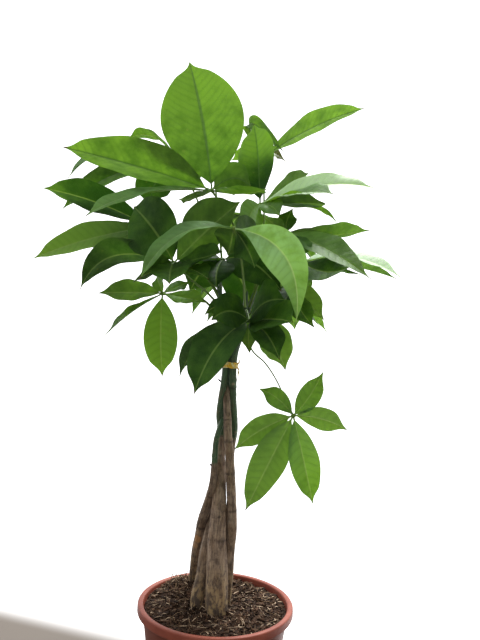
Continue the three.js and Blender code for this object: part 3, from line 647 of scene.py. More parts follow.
def leaf_material():
    """Leaf blade: a satin green skin that light shines through, with its ribs, a fine net, painted sheen on
    some leaflets and painted shade along its side veins
    """
    look = Look("leaf_blade")
    along, across, half = look.parts(look.attribute("blade"))
    reach, seed, under = look.parts(look.attribute("spot"))
    painted_sheen, withered, pale_rib = look.parts(look.attribute("skin"))
    tone = look.attribute("tone", "Fac")

    off_rib = look.math("ABSOLUTE", across)
    inner = look.step(look.math("DIVIDE", off_rib, look.math("MAXIMUM", half, 0.5)), 1.0, 0.7)
    slant = look.times(off_rib, look.scaled(off_rib, VEIN_BEND, VEIN_SLANT))
    phase = look.math("DIVIDE", look.math("SUBTRACT", along, slant), VEIN_SPACING)
    saw = look.math("ABSOLUTE", look.math("SUBTRACT", look.math("FRACT", phase), 0.5))
    # The band is strongest near the side veins, where the quilted blade dips; where it darkens the blade it
    # is painted shade
    band = look.times(look.step(saw, 0.1, 0.5), inner)
    mid_width = look.scaled(half, 0.022, 0.3)
    midrib = look.step(off_rib, look.times(mid_width, 1.8), look.times(mid_width, 0.7))
    flat = look.add("CombineXYZ", {0: along, 1: across, 2: look.times(seed, 40.0)}).outputs[0]
    net = look.step(look.cells(flat, 0.55, "DISTANCE_TO_EDGE"), 0.0, 0.12)
    cloud = look.noise(flat, 0.06, 4, 0.6)
    fine = look.noise(flat, 0.6, 3)
    side_veins = look.times(look.step(saw, 0.42, 0.5), inner, look.step(cloud, 0.3, 0.7, 0.15, 0.6))
    veins = look.math("MAXIMUM", midrib, side_veins)

    # Painted sheen: pale patches that stand in for light reflected off a leaflet, weaker near the veins,
    # towards the tip and underneath
    painted_sheen_patches = look.times(painted_sheen, look.scaled(band, -0.12, 1.0), look.step(cloud, 0.3, 0.6, 0.35, 1.0))
    painted_sheen_patches = look.times(painted_sheen_patches, look.step(reach, 0.95, 0.35, 0.4, 1.0), look.scaled(under, -0.7, 1.0))
    end = look.step(look.plus(reach, look.times(fine, 0.03)), 0.985, 1.0)
    dry_tip = look.times(end, look.step(seed, 0.35, 0.4))
    dry = look.math("MAXIMUM", dry_tip, look.times(withered, look.step(reach, 0.1, 0.9, 0.3, 1.0)))
    light = look.step(look.plus(tone, look.scaled(cloud, 0.9, -0.45)), 0.0, 1.0)
    top = look.layers(look.between(light, "#1b331a", "#47771f"), ["#8fac66", veins, 0.45])
    below = look.layers(look.between(light, "#32472b", "#678a48"), ["#96b06e", veins, 0.5])
    skin = look.layers(
        look.mix(under, top, below),
        # Painted shade near the side veins
        ["#22381a", band, 0.08],
        ["#7ea552", look.math("SUBTRACT", 1.0, net), 0.16],
        ["#5d7c2c", look.step(fine, 0.62, 0.8, 0.0, 0.25)],
        ["#8c8a4a", look.step(look.cells(flat, 0.045), 0.09, 0.05), 0.5],
        # Painted sheen, a near-white painted highlight where the sheen is strongest, and a painted highlight
        # on the midrib
        ["#a6cf9e", painted_sheen_patches],
        ["#deefd4", look.step(painted_sheen, 1.0, 2.0, 0.0, 0.65)],
        ["#cfe3ac", midrib, look.times(painted_sheen, 0.5)],
        ["#5e5330", dry],
    )
    through = look.layers(
        look.between(light, "#648c38", "#bddc70"),
        ["#4e7a1e", side_veins, 0.5],
        [look.between(pale_rib, "#4e7a1e", "#cfe08c"), midrib, 0.6],
        ["#5d8a24", band, 0.07],
        ["#8a7c2c", dry],
    )

    height = look.times(veins, look.scaled(under, 2.0, -1.0))
    height = look.plus(height, look.times(net, 0.25), look.times(fine, 0.3))
    normal = look.bump(height, 0.0005, 0.5)
    rough = look.plus(look.scaled(under, 0.15, 0.46), look.times(fine, 0.12))
    surface = look.shader(skin, rough, normal, look.step(tone, 0.1, 0.9, 0.06, 0.3))
    glow = look.add("BsdfTranslucent", {"Color": through, "Normal": normal}).outputs[0]
    return look.finish(look.add("MixShader", {0: LIGHT_THROUGH_LEAF, 1: surface, 2: glow}).outputs[0])


def stalk_material():
    """Leaf stalks: smooth green, paler and browner in places"""
    look = Look("leaf_stalk")
    streak = look.noise(look.place(), (900, 900, 120))
    skin = look.layers(
        look.between(look.attribute("tone", "Fac"), "#38541f", "#6f8f3a"),
        ["#7c7a40", look.step(streak, 0.5, 0.75, 0.0, 0.4)],
    )
    return look.finish(look.shader(skin, 0.6, look.bump(streak, 0.0002, 0.4), 0.2))


# The heights in metres where the stain on the stems' feet begins and where it is full
STAIN_TOP = 0.235
STAIN_FULL = 0.175


def bark_material():
    """Stems: grey-brown bark with fissures, pale pores and a stained foot, and dark green skin above"""
    look = Look("stem_bark")
    grain = look.attribute("grain")
    green = look.attribute("green", "Fac")
    pale, orange, dark = look.parts(look.attribute("mark"))
    _, _, up = look.parts(look.place())
    streak = look.noise(grain, (0.05, 0.9, 0.9), 5, 0.65)
    blotch = look.noise(grain, (0.06, 0.12, 0.12), 4, 0.6)
    dirt = look.noise(grain, (0.1, 0.17, 0.17), 5, 0.65)
    fissure = look.step(look.noise(grain, (0.1, 1.3, 1.3), 4, 0.7), 0.56, 0.66)
    pores = look.step(look.cells(grain, (0.55, 0.28, 0.28)), 0.24, 0.12)
    rings = look.step(look.noise(grain, (0.9, 0.05, 0.05), 2, 0.5), 0.6, 0.72)
    foot = look.step(look.scaled(blotch, 0.05, up), STAIN_TOP, STAIN_FULL)
    brown = look.layers(
        look.between(look.step(streak, 0.25, 0.75), "#6b5a4c", "#ad957c"),
        ["#745c42", look.step(blotch, 0.45, 0.7, 0.0, 0.7)],
        ["#9a8f7c", look.step(blotch, 0.42, 0.3, 0.0, 0.55)],
        ["#33271f", fissure, 0.5],
        ["#b19a82", pores, 0.45],
        ["#3d3028", rings, 0.3],
        ["#3a2b1f", look.step(dirt, 0.44, 0.62, 0.0, 0.55)],
        [look.between(look.step(dirt, 0.4, 0.58), "#a58a58", "#2e2318"), foot, 0.6],
    )
    skin = look.layers(
        look.between(look.step(streak, 0.35, 0.7), "#304a30", "#55704c"),
        ["#8d8a62", pores, 0.5],
        ["#5a5138", look.step(blotch, 0.52, 0.7, 0.0, 0.6)],
    )
    edge = look.plus(green, look.scaled(streak, 0.6, -0.3))
    base = look.layers(
        look.mix(look.step(edge, 0.3, 0.7), brown, skin),
        ["#a5957b", pale], ["#bd8d5c", orange], ["#1f1812", dark],
    )
    height = look.plus(look.times(streak, 0.6), look.times(fissure, -0.9), look.times(pores, 0.35))
    normal = look.bump(look.times(height, look.scaled(green, -0.6, 1.0)), 0.0009, 0.8)
    return look.finish(look.shader(base, look.scaled(green, -0.3, 0.85), normal))


def pot_material():
    """Terracotta-coloured moulded plastic, scuffed a little, with painted shade below its band, and darker in
    patches inside
    """
    look = Look("pot_plastic")
    at = look.place()
    _, _, up = look.parts(at)
    inside = look.attribute("inside", "Fac")
    cloud = look.noise(at, 28, 4)
    scuff = look.step(look.noise(at, (60, 60, 520), 5, 0.7), 0.62, 0.72)
    band_foot = POT_HEIGHT - BAND_HEIGHT
    base = look.layers(
        look.between(look.step(cloud, 0.3, 0.7), "#743b2e", "#894a3a"),
        ["#d29a86", scuff, 0.3],
        ["#4a3426", look.times(look.step(look.cells(at, 260), 0.16, 0.08), look.step(cloud, 0.5, 0.7)), 0.7],
        # Painted shade below the band, where the rim's shadow falls
        ["#5a2d22", look.step(up, (band_foot + 0.5) * MM, (band_foot - 1) * MM), 0.6],
        # Darker in patches on the inner surface
        ["#4b3225", inside, look.step(look.noise(at, 90, 5, 0.7), 0.35, 0.65, 0.2, 0.85)],
    )
    height = look.plus(look.times(look.noise(at, 900, 3), 0.4), look.times(scuff, -0.4))
    rough = look.plus(look.scaled(scuff, 0.2, 0.48), look.times(inside, 0.3))
    return look.finish(look.shader(base, rough, look.bump(height, 0.0003, 0.35), 0.16))


def soil_material():
    """Dark crumbly soil"""
    look = Look("soil_ground")
    at = look.place()
    lumps = look.noise(at, 260, 6, 0.7)
    base = look.layers(
        look.between(look.step(lumps, 0.3, 0.7), "#170f0b", "#3e2d21"),
        ["#7d6248", look.step(look.noise(at, 900, 2), 0.62, 0.75, 0.0, 0.6)],
    )
    height = look.math("SUBTRACT", lumps, look.cells(at, 420))
    return look.finish(look.shader(base, 0.95, look.bump(height, 0.002, 0.9), 0.15))


def litter_material(name, dark, light, grain_scale):
    """Bits of bark, fibre or wood: each has a shade of its own and a grain"""
    look = Look(name)
    grain = look.noise(look.place(), (grain_scale, grain_scale, grain_scale * 2), 4, 0.65)
    share = look.plus(look.times(look.attribute("shade", "Fac"), 0.75), look.scaled(grain, 0.6, -0.18))
    base = look.between(look.step(share, 0.0, 1.0), dark, light)
    return look.finish(look.shader(base, 0.9, look.bump(grain, 0.0008, 0.7), 0.15))


def foil_material():
    """Gold foil, creased, with painted shade in its creases"""
    look = Look("gold_foil")
    at = look.place()
    crease = look.cells(at, (420, 420, 252), "DISTANCE_TO_EDGE")
    cloud = look.noise(at, 260, 3)
    base = look.layers(
        look.between(look.step(cloud, 0.4, 0.6), "#fbca36", "#fff3ac"),
        # Painted shade in the creases
        ["#7a4d12", look.step(crease, 0.12, 0.02, 0.0, 0.35)],
    )
    normal = look.bump(look.plus(crease, look.times(cloud, 0.6)), 0.0012, 0.8)
    return look.finish(look.shader(base, 0.28, normal, metallic=0.12))


def floor_material():
    """A white floor that is greyer towards the front and the left: a painted shade"""
    look = Look("pale_floor")
    at = look.place()
    right, back, _ = look.parts(at)
    cloud = look.noise(at, 3, 3)
    # Painted shade: the floor turns grey near the front, more so to the left
    near = look.step(look.scaled(right, 0.35, back), 0.22, 0.13)
    base = look.mix(near, colour("#ffffff"), look.between(cloud, "#4f4841", "#5e564e"))
    return look.finish(look.shader(base, 0.8, look.bump(cloud, 0.0001, 0.1)))


# The leaves

# The places across a blade, from edge to edge, that have points, and the distance between rows of them
COLUMNS = np.array([
    -1, -0.93, -0.8, -0.63, -0.45, -0.28, -0.13, -0.04, 0, 0.04, 0.13, 0.28, 0.45, 0.63, 0.8, 0.93, 1,
])
STATION_LENGTH = 1.9
FEWEST_STATIONS = 14
HALF_THICKNESS = 0.24
PETIOLULE_RADIUS = 0.95
QUILT = 0.45
RIPPLE = 0.7
TIP_NARROWING = 0.55
DRIP_LENGTH = 17
TAPER = 1.22
# How much leaflets of one leaf differ in shade
OWN_SHADE = 0.16
# How much a stalk swells at its leaflets and at its root, and how far the swelling goes
HUB_SWELLING = [0.75, 4.5]
ROOT_SWELLING = [0.7, 5]


def half_widths(width, widest, leanness, t, to_tip):
    """Half the width of a leaflet at t along its rib, narrowed to a drip tip"""
    share = np.maximum(0, t - BLADE_START) / (widest - BLADE_START)
    rise = share ** (widest * leanness)
    fall = ((1 - t) / (1 - widest)) ** ((1 - widest) * leanness * TAPER)
    drip = 1 - TIP_NARROWING * (1 - smooth(3, DRIP_LENGTH, to_tip))
    least = PETIOLULE_RADIUS * (1 - 0.75 * smooth(0.8, 1.0, t))
    return np.maximum(least, width / 2 * rise * fall * drip)


def blade_lift(t, along, reach, width, seed):
    """How far a blade's points lie above its rib: folded, waved, and quilted between its veins"""
    far = np.abs(COLUMNS)
    swell = 2 * reach / width
    fold = reach * math.sin(BLADE_FOLD) * (1.3 * np.sqrt(COLUMNS**2 + 0.003) - 0.3 * COLUMNS**2)
    wave = far**1.4 * BLADE_WAVE * swell * np.sin(7 * t + 2 * COLUMNS + 5 * seed)
    ripple = far**2.2 * RIPPLE * swell * np.sin(21 * t + 3 * np.sign(COLUMNS) + 9 * seed)
    off_rib = far * reach
    phase = (along - off_rib * (VEIN_SLANT + VEIN_BEND * off_rib)) / VEIN_SPACING
    between = np.sin(math.pi * phase) ** 2 * smooth(0.02, 0.2, far) * (1 - 0.7 * smooth(0.75, 1, far))
    return fold + wave + ripple + QUILT * (between - 0.5) * swell


def blade_thickness(t, reach):
    """Half the thickness of a blade without its rib, and how far the rib stands out"""
    far = np.abs(COLUMNS)
    stalk = 1 - smooth(0.02, 0.09, t)
    round_half = PETIOLULE_RADIUS * np.sqrt(np.maximum(0.04, 1 - COLUMNS**2))
    thin = HALF_THICKNESS * (1 - 0.6 * smooth(0.8, 1, far)) * np.ones_like(reach)
    ridge = (1 - smooth(0.0, 0.13, far)) * (0.75 * (1 - t) + 0.12) * (1 - stalk)
    return stalk * round_half + (1 - stalk) * thin, ridge


def grid_edge(rows, columns):
    """The points round the edge of a grid, in order"""
    return np.concatenate([
        np.arange(columns),
        np.arange(1, rows) * columns + columns - 1,
        (rows - 1) * columns + np.arange(columns - 2, -1, -1),
        np.arange(rows - 2, 0, -1) * columns,
    ])


def add_leaflet(piece, hub, mid, tip, side, width, form, seed, tone, painted_shade_slope, skin):
    """One leaflet: a thin closed blade along its rib"""
    control = 2 * mid - 0.5 * hub - 0.5 * tip
    rough_length = np.linalg.norm(mid - hub) + np.linalg.norm(tip - mid)
    rows = max(FEWEST_STATIONS, int(rough_length / STATION_LENGTH)) + 1
    t = np.linspace(0, 1, rows)[:, None]
    centre = (1 - t) ** 2 * hub + 2 * t * (1 - t) * control + t**2 * tip
    tangent = unit(2 * (1 - t) * (control - hub) + 2 * t * (tip - control))
    across = unit(side - (tangent @ side)[:, None] * tangent)
    upward = -1.0 if np.cross(side, tip - hub)[2] < 0 else 1.0
    up = np.cross(across, tangent)[:, None] * upward
    along = arc_lengths(centre)[:, None]
    reach = half_widths(width, *form, t, along[-1] - along)

    lift = blade_lift(t, along, reach, width, seed)
    sideways = across[:, None] * (COLUMNS * reach * math.cos(BLADE_FOLD))[..., None]
    blade = centre[:, None] + sideways + up * lift[..., None]
    thickness, ridge = blade_thickness(t, reach)
    top = blade + up * (thickness - 0.2 * ridge)[..., None]
    bottom = blade - up * (thickness + ridge)[..., None]

    columns = len(COLUMNS)
    count = rows * columns
    squares = grid_faces(rows, columns, False)
    edge = grid_edge(rows, columns)
    after = np.roll(edge, -1)
    wall = np.stack([edge, after, after + count, edge + count], -1)
    faces = [squares[:, ::-1], squares + count, wall]
    if upward > 0:
        faces = [block[:, ::-1] for block in faces]

    blade_at = np.stack(np.broadcast_arrays(along, COLUMNS * reach, reach), -1)
    own = (seed * 7.31) % 1
    spot = np.zeros((2, rows, columns, 3))
    spot[..., 0] = t
    spot[..., 1] = own
    spot[1, ..., 2] = 1
    # The tone holds the leaf's lightness, the leaflet's own shade and a painted shade from base to tip
    shade = np.broadcast_to(tone + painted_shade_slope * (t - 0.5) + OWN_SHADE * (own - 0.5), (2, rows, columns))
    piece.add([top, bottom], faces, blade=np.stack([blade_at, blade_at]), spot=spot, tone=shade, skin=skin)


def front_leaflets(hub, rows):
    """Each leaflet's middle, tip, side direction, width and form in space"""
    for middle, end, width, turn, *form in rows:
        mid = place(middle)
        tip = place(end)
        chord = unit(tip - hub)
        flat_on = unit(np.cross(chord, unit(EYE - mid)))
        nearer = np.cross(flat_on, chord)
        if flat_on[2] > 0:
            flat_on = -flat_on
        angle = math.radians(turn)
        side = flat_on * math.cos(angle) + nearer * math.sin(angle)
        yield mid, tip, side, width, form or BLADE_FORM


def back_leaflets(hub, heading, fan, droop, count, longest):
    """The same for a leaf at the back, whose leaflets fan out and droop"""
    fall = math.radians(droop)
    for i in range(count):
        share = i / (count - 1) - 0.5
        turn = math.radians(heading + share * fan)
        length = longest * (1 + (BACK_SIDE_LENGTH - 1) * 4 * share * share)
        ahead = np.array([math.sin(turn), math.cos(turn), 0.0])
        side = np.array([ahead[1], -ahead[0], 0.0])
        tip = hub + ahead * length * math.cos(fall)
        tip[2] -= length * math.sin(fall)
        mid = (hub + tip) / 2
        mid[2] += BACK_RISE * length
        yield mid, tip, side, length * BACK_LEAFLET_WIDTH, BLADE_FORM


def add_twig(piece, rows, steps, radii, look, **values):
    """A short dead end of a twig through places in the front view"""
    centres, _ = smooth_curve([place(row) for row in rows], steps)
    add_tube(piece, centres, np.linspace(*radii, len(centres)), 10, look, **values)


def add_stalk(piece, root, passes, hub, thinner, tone):
    """A leaf's stalk, thicker where it meets its stem and its leaflets"""
    points = np.array([root, *passes, hub])
    centres, params = smooth_curve(points, 14)
    lengths = arc_lengths(centres)
    radii = np.interp(params, [0, len(points) - 1], [STALK_ROOT_RADIUS, STALK_RADIUS]) * thinner
    for (more, reach), away in ((ROOT_SWELLING, lengths), (HUB_SWELLING, lengths[-1] - lengths)):
        radii = radii + more * np.exp(-((away / reach) ** 2))
    add_tube(piece, centres, radii, 12, 1, tone=tone)
    add_ball(piece, hub, HUB_RADIUS, 1, tone=tone)


def make_leaf(name, root, passes, hub, leaflets, seed, tone, materials):
    piece = Piece(name + "_fine")
    add_stalk(piece, root, passes, hub, THIN_STALK.get(name, 1), tone)
    for rows in TWIGS.get(name, ()):
        add_twig(piece, rows, 10, [1.3, 0.9], 1, tone=-0.6)
    for i, (mid, tip, side, width, form) in enumerate(leaflets):
        own = LEAFLET_LOOKS.get(name, {}).get(i, [])
        # Per leaflet: a lightness that is partly painted light and shade, a painted sheen, how withered, and
        # a painted shade from base to tip
        lighter, painted_sheen, withered, painted_shade_slope = own + [0] * (4 - len(own))
        skin = [painted_sheen, withered, 0 if i in DARK_RIBS.get(name, ()) else 1]
        own_seed = seed + LEAFLET_SEED_STEP * i
        add_leaflet(piece, hub, mid, tip, side, width, form, own_seed, tone + lighter, painted_shade_slope, skin)
    piece.build(materials, [name], sharp=60)


# The stems

STEM_SIDES = 32
STEM_STEP = 1.7
STEM_SEED = 100
GREEN_BLEND = 10
RIDGE = 0.055
SWELLING_SPACING = 14
# Scars of old leaves on the green part: how far apart, the turn from one to the next, and a mark for each
SCAR_SPACING = 19
SCAR_TURN = 137.5
SCAR = [1.7, 0.7, 0.45, 0.0]


def make_stem(index, name, rows, material):
    """A stem with ridged and ringed bark, and leaf scars on its green part. Returns its middle line"""
    draw = np.random.default_rng(STEM_SEED + index)
    points = np.array([place(row) for row in rows])
    spans = len(points) - 1
    steps = max(4, int(arc_lengths(points)[-1] / spans / STEM_STEP))
    centres, params = smooth_curve(points, steps)
    lengths = arc_lengths(centres)
    kernel = np.hanning(2 * steps + 1)
    plain = np.interp(params, np.arange(len(rows)), [row[3] for row in rows])
    radii = np.convolve(np.pad(plain, steps, mode="edge"), kernel / kernel.sum(), mode="valid")
    radii = (radii * np.sqrt(np.clip((lengths[-1] - lengths) / 2.5, 0.04, 1)))[:, None]

    angle = circle(STEM_SIDES)
    s = lengths[:, None]
    up = centres[:, 2:]
    green = smooth(GREEN_FROM[name] - GREEN_BLEND, GREEN_FROM[name] + GREEN_BLEND, up)
    relief = np.zeros((len(centres), STEM_SIDES))
    for waves in (2, 3, 5, 8, 11):
        turn, drift, speed = draw.uniform(0, 6.28), draw.uniform(0.5, 1.5), draw.uniform(0.012, 0.05)
        relief += RIDGE / waves**0.6 * np.sin(waves * angle + turn + drift * np.sin(speed * s + turn))
    relief += draw.normal(0, 0.006, relief.shape)
    shape = radii * (1 + relief * (1 - 0.8 * green))
    for _ in range(int(lengths[-1] / SWELLING_SPACING)):
        at, height, width = draw.uniform(0, lengths[-1]), draw.uniform(0.05, 0.28), draw.uniform(0.8, 2.2)
        shape = shape + height * np.exp(-(((s - at) / width) ** 2)) * (0.6 + 0.4 * np.sin(angle + at))

    mark = np.zeros((*relief.shape, 3))
    mark[..., 2] = DARKER_BARK.get(name, 0) * (1 - green)
    for level in BARK_RINGS[name]:
        away = up - level + 0.5 * np.sin(2 * angle + level)
        shape = shape + 0.3 * np.exp(-(((away - 1.2) / 1.1) ** 2))
        mark[..., 2] = np.maximum(mark[..., 2], 0.7 * np.exp(-((away / 0.9) ** 2)))
    marks = [row[1:] for row in MARKS if row[0] == name]
    for k, level in enumerate(np.arange(GREEN_FROM[name] + 8, rows[-1][1] - 6, SCAR_SPACING)):
        marks.append([level, (k * SCAR_TURN + 50 * index) % 360 - 180, *SCAR])
    outward = ring_directions(centres, STEM_SIDES)
    facing = np.arctan2(outward[..., 0], -outward[..., 1])
    for level, toward, size, out, pale, orange in marks:
        turn = np.angle(np.exp(1j * (facing - math.radians(toward))))
        blob = np.exp(-((up - level) ** 2 + (turn * radii) ** 2) / size**2)
        shape = shape + out * blob
        middle = smooth(0.4, 0.8, blob)
        shown = [max(pale, 0) * middle, orange * smooth(0.3, 0.7, blob), max(-pale, 0) * middle]
        mark = np.maximum(mark, np.stack(shown, -1))

    grain = np.roll(round_points(radii, angle, s + 60 * index), 1, axis=-1)
    green = np.broadcast_to(green, relief.shape)
    piece = Piece(name + "_fine")
    add_tube(piece, centres, shape, STEM_SIDES, grain=grain, green=green, mark=mark)
    if name in STUBS:
        add_twig(piece, STUBS[name], 8, [1.2, 0.8], 0, mark=[0, 0, 1])
    piece.build([material], [name])
    return centres


# The pot

POT_SIDES = 144
DRILL_REACH = 6


def inner_radius(z):
    share = (z - BASE_THICKNESS) / (POT_HEIGHT - EDGE_ROUND - BASE_THICKNESS)
    return BASE_RADIUS - WALL + (RIM_INNER_RADIUS - BASE_RADIUS + WALL) * share


def rounded(corners, radius, steps=4):
    """An open outline with its inner corners rounded"""
    corners = np.array(corners, float)
    out = [corners[0]]
    for before, corner, after in zip(corners, corners[1:], corners[2:]):
        near = min(radius, 0.45 * np.linalg.norm(before - corner), 0.45 * np.linalg.norm(after - corner))
        start = corner + unit(before - corner) * near
        end = corner + unit(after - corner) * near
        for t in np.linspace(0, 1, steps + 1):
            out.append((1 - t) ** 2 * start + 2 * t * (1 - t) * corner + t**2 * end)
    return np.array([*out, corners[-1]])


def make_pot(material):
    """The pot: a thin turned shell with a band under its rim and drainage holes"""
    foot = POT_HEIGHT - BAND_HEIGHT
    wall_top = inner_radius(foot) + WALL
    profile = rounded([
        [0, 0], [BASE_RADIUS, 0], [wall_top, foot], [wall_top + BAND_STEP, foot], [RIM_RADIUS, POT_HEIGHT],
        [RIM_INNER_RADIUS, POT_HEIGHT], [BASE_RADIUS - WALL, BASE_THICKNESS], [0, BASE_THICKNESS],
    ], EDGE_ROUND)[1:-1]
    rows = len(profile)
    within = np.arange(rows) > np.argmax(profile[:, 1]) + 5
    piece = Piece("pot_fine")
    points = round_points(profile[:, :1], circle(POT_SIDES), profile[:, 1:])
    piece.add(points, tube_faces(rows, POT_SIDES), inside=np.repeat(within.astype(float), POT_SIDES))
    pot = piece.build([material], ["pot"], sharp=40)

    drills = Piece("pot_drills")
    for turn in circle(DRAIN_HOLES) + math.pi / DRAIN_HOLES:
        ends = round_points(DRAIN_RING_RADIUS, turn, np.array([-DRILL_REACH, DRILL_REACH]))
        add_tube(drills, ends, [DRAIN_RADIUS, DRAIN_RADIUS], 24)
    cutter = drills.build([material])
    cut = pot.modifiers.new("holes", "BOOLEAN")
    cut.object = cutter
    cut.operation = "DIFFERENCE"
    bpy.context.view_layer.update()
    evaluated = pot.evaluated_get(bpy.context.evaluated_depsgraph_get())
    finished = bpy.data.meshes.new_from_object(evaluated)
    pot.modifiers.clear()
    pot.data = finished
    bpy.data.objects.remove(cutter)


# The soil

SOIL_RADIUS = inner_radius(SOIL_LEVEL) - SOIL_TO_WALL
SOIL_RINGS = 72
SOIL_SIDES = 240
CRUMB_SIZES = [19, 12, 8, 5.5, 4, 3]
CRUMB_STEEPNESS = 0.045
CRUMB_SEED = 5


def soil_height(x, y):
    away = ((x - MOUND["x"]) ** 2 + (y - MOUND["y"]) ** 2) / (2 * MOUND["spread"] ** 2)
    lumps = sum(share * np.sin(p * x + q * y + start) for p, q, start, share in SOIL_WAVES)
    return SOIL_LEVEL + MOUND["height"] * np.exp(-away) + SOIL_LUMP * lumps


def crumbs(x, y):
    """Small uneven rises of the soil"""
    draw = np.random.default_rng(CRUMB_SEED)
    total = 0
    for size in CRUMB_SIZES:
        turn, start = draw.uniform(0, 6.28), draw.uniform(0, 6.28)
        u = x * math.cos(turn) + y * math.sin(turn)
        w = y * math.cos(turn) - x * math.sin(turn)
        bent = 1.7 * np.sin(6.28 * w / size / 1.6)
        total = total + CRUMB_STEEPNESS * size * np.sin(6.28 * u / size + start + bent)
    return total


def soil_surface(x, y):
    """Height of the finished soil, which falls a little at the pot's wall"""
    near_wall = smooth(SOIL_RADIUS - 9, SOIL_RADIUS, np.hypot(x, y))
    height = soil_height(x, y) + crumbs(x, y)
    capped = np.minimum(height, POT_HEIGHT - SOIL_EDGE_BELOW_RIM) - SOIL_EDGE_DIP
    return height * (1 - near_wall) + capped * near_wall


def make_soil(material):
    angle = circle(SOIL_SIDES)
    radius = np.linspace(0.6, SOIL_RADIUS, SOIL_RINGS)[:, None]
    top = round_points(radius, angle, 0.0)
    top = np.dstack([top[..., :2], soil_surface(top[..., 0], top[..., 1])])
    low = round_points(BASE_RADIUS - WALL - GAP, angle, BASE_THICKNESS + GAP)[None]
    piece = Piece("soil_fine")
    faces = [block[:, ::-1] for block in tube_faces(SOIL_RINGS + 1, SOIL_SIDES)]
    piece.add(np.concatenate([top, low]), faces)
    piece.build([material], ["soil"])


# The litter on the soil

CHIP_COUNT = 2300
CHIP_CORNERS = 7
CHIP_SEED = 11
FIBRE_COUNT = 230
FIBRE_RINGS = 9
STANDING_RINGS = 7
STANDING_FIBRES = 46
FIBRE_SEED = 23
SPLINTER_COUNT = 400
SPLINTER_SEED = 31


def scatter(draw, count, avoid):
    """Random places on the soil, clear of the stems"""
    found = 0
    while found < count:
        radius, turn = (SOIL_RADIUS - 2.5) * math.sqrt(draw.uniform()), draw.uniform(0, 2 * math.pi)
        x, y = radius * math.cos(turn), radius * math.sin(turn)
        if all(math.hypot(x - cx, y - cy) > r for cx, cy, r in avoid):
            found += 1
            yield x, y


def turned(draw, tilt):
    """A random rotation that stays within a tilt of flat"""
    spin, lean, way = draw.uniform(0, 6.28), draw.normal(0, tilt), draw.uniform(0, 6.28)
    c, s = math.cos(spin), math.sin(spin)
    about_z = np.array([[c, -s, 0], [s, c, 0], [0, 0, 1]])
    axis = np.array([math.cos(way), math.sin(way), 0])
    cross = np.array([[0, 0, axis[1]], [0, 0, -axis[0]], [-axis[1], axis[0], 0]])
    return (np.eye(3) + math.sin(lean) * cross + (1 - math.cos(lean)) * cross @ cross) @ about_z


def farthest(points):
    """How far the farthest point is from the pot's axis"""
    return np.hypot(points[:, 0], points[:, 1]).max()


def make_chips(material, avoid):
    """Flakes of bark on the soil, each an uneven slab"""
    draw = np.random.default_rng(CHIP_SEED)
    piece = Piece("soil_chips")
    faces = slab_faces(np.arange(CHIP_CORNERS)[None])
    for x, y in scatter(draw, CHIP_COUNT, avoid):
        long = draw.uniform(1.2, 3.4) * (1.6 if draw.uniform() < 0.12 else 1)
        wide = long * draw.uniform(0.28, 0.6)
        thick = draw.uniform(0.3, 0.9)
        outline = draw.uniform(0.72, 1.15, CHIP_CORNERS)
        uneven = draw.uniform(-0.3, 0.3, CHIP_CORNERS)
        flat = round_points(outline, circle(CHIP_CORNERS), uneven) * [long, wide, 1]
        upper = flat * [0.86, 0.86, 1] + [0, 0, thick]
        points = np.concatenate([upper, flat - [0, 0, thick]]) @ turned(draw, 0.35).T
        points = points + [x, y, soil_surface(x, y) + draw.uniform(-0.3, 0.9)]
        if farthest(points) < SOIL_RADIUS + 0.4:
            piece.add(points, faces, shade=draw.uniform())
    piece.build([material], sharp=35)


def make_fibres(material, avoid):
    """Strands of coir lying on the soil, and some that stand up on the mound"""
    draw = np.random.default_rng(FIBRE_SEED)
    piece = Piece("soil_fibres")
    for x, y in scatter(draw, FIBRE_COUNT, avoid):
        length = draw.uniform(6, 22)
        heading, bend = draw.uniform(0, 6.28), draw.normal(0, 0.04)
        steps = np.linspace(-0.5, 0.5, FIBRE_RINGS) * length
        line = round_points(steps, heading + bend * steps, 0.0) + [x, y, 0]
        if farthest(line) > SOIL_RADIUS - 1:
            continue
        arch = 0.8 * np.sin(np.linspace(0, 3.1, FIBRE_RINGS))
        line[:, 2] = soil_surface(line[:, 0], line[:, 1]) + draw.uniform(0.2, 1.5) + arch * draw.uniform(0, 1)
        radii = draw.uniform(0.12, 0.34) * np.sin(np.linspace(0.35, 2.8, FIBRE_RINGS)) ** 0.5
        add_tube(piece, line, radii, 5, shade=draw.uniform())
    for _ in range(STANDING_FIBRES):
        x, y = MOUND["x"] + draw.normal(0, 11), MOUND["y"] + draw.normal(0, 9)
        share = np.linspace(0, 1, STANDING_RINGS)
        heading, curl = draw.uniform(0, 6.28), draw.normal(0, 1.2)
        out = draw.uniform(3, 8) * share
        rise = draw.uniform(3, 13) * np.sin(1.9 * share)
        line = round_points(out, heading + curl * share, rise) + [x, y, soil_surface(x, y)]
        radii = draw.uniform(0.2, 0.5) * (1.1 - share)
        add_tube(piece, line, radii, 5, shade=draw.uniform(0.5, 1))
    piece.build([material])


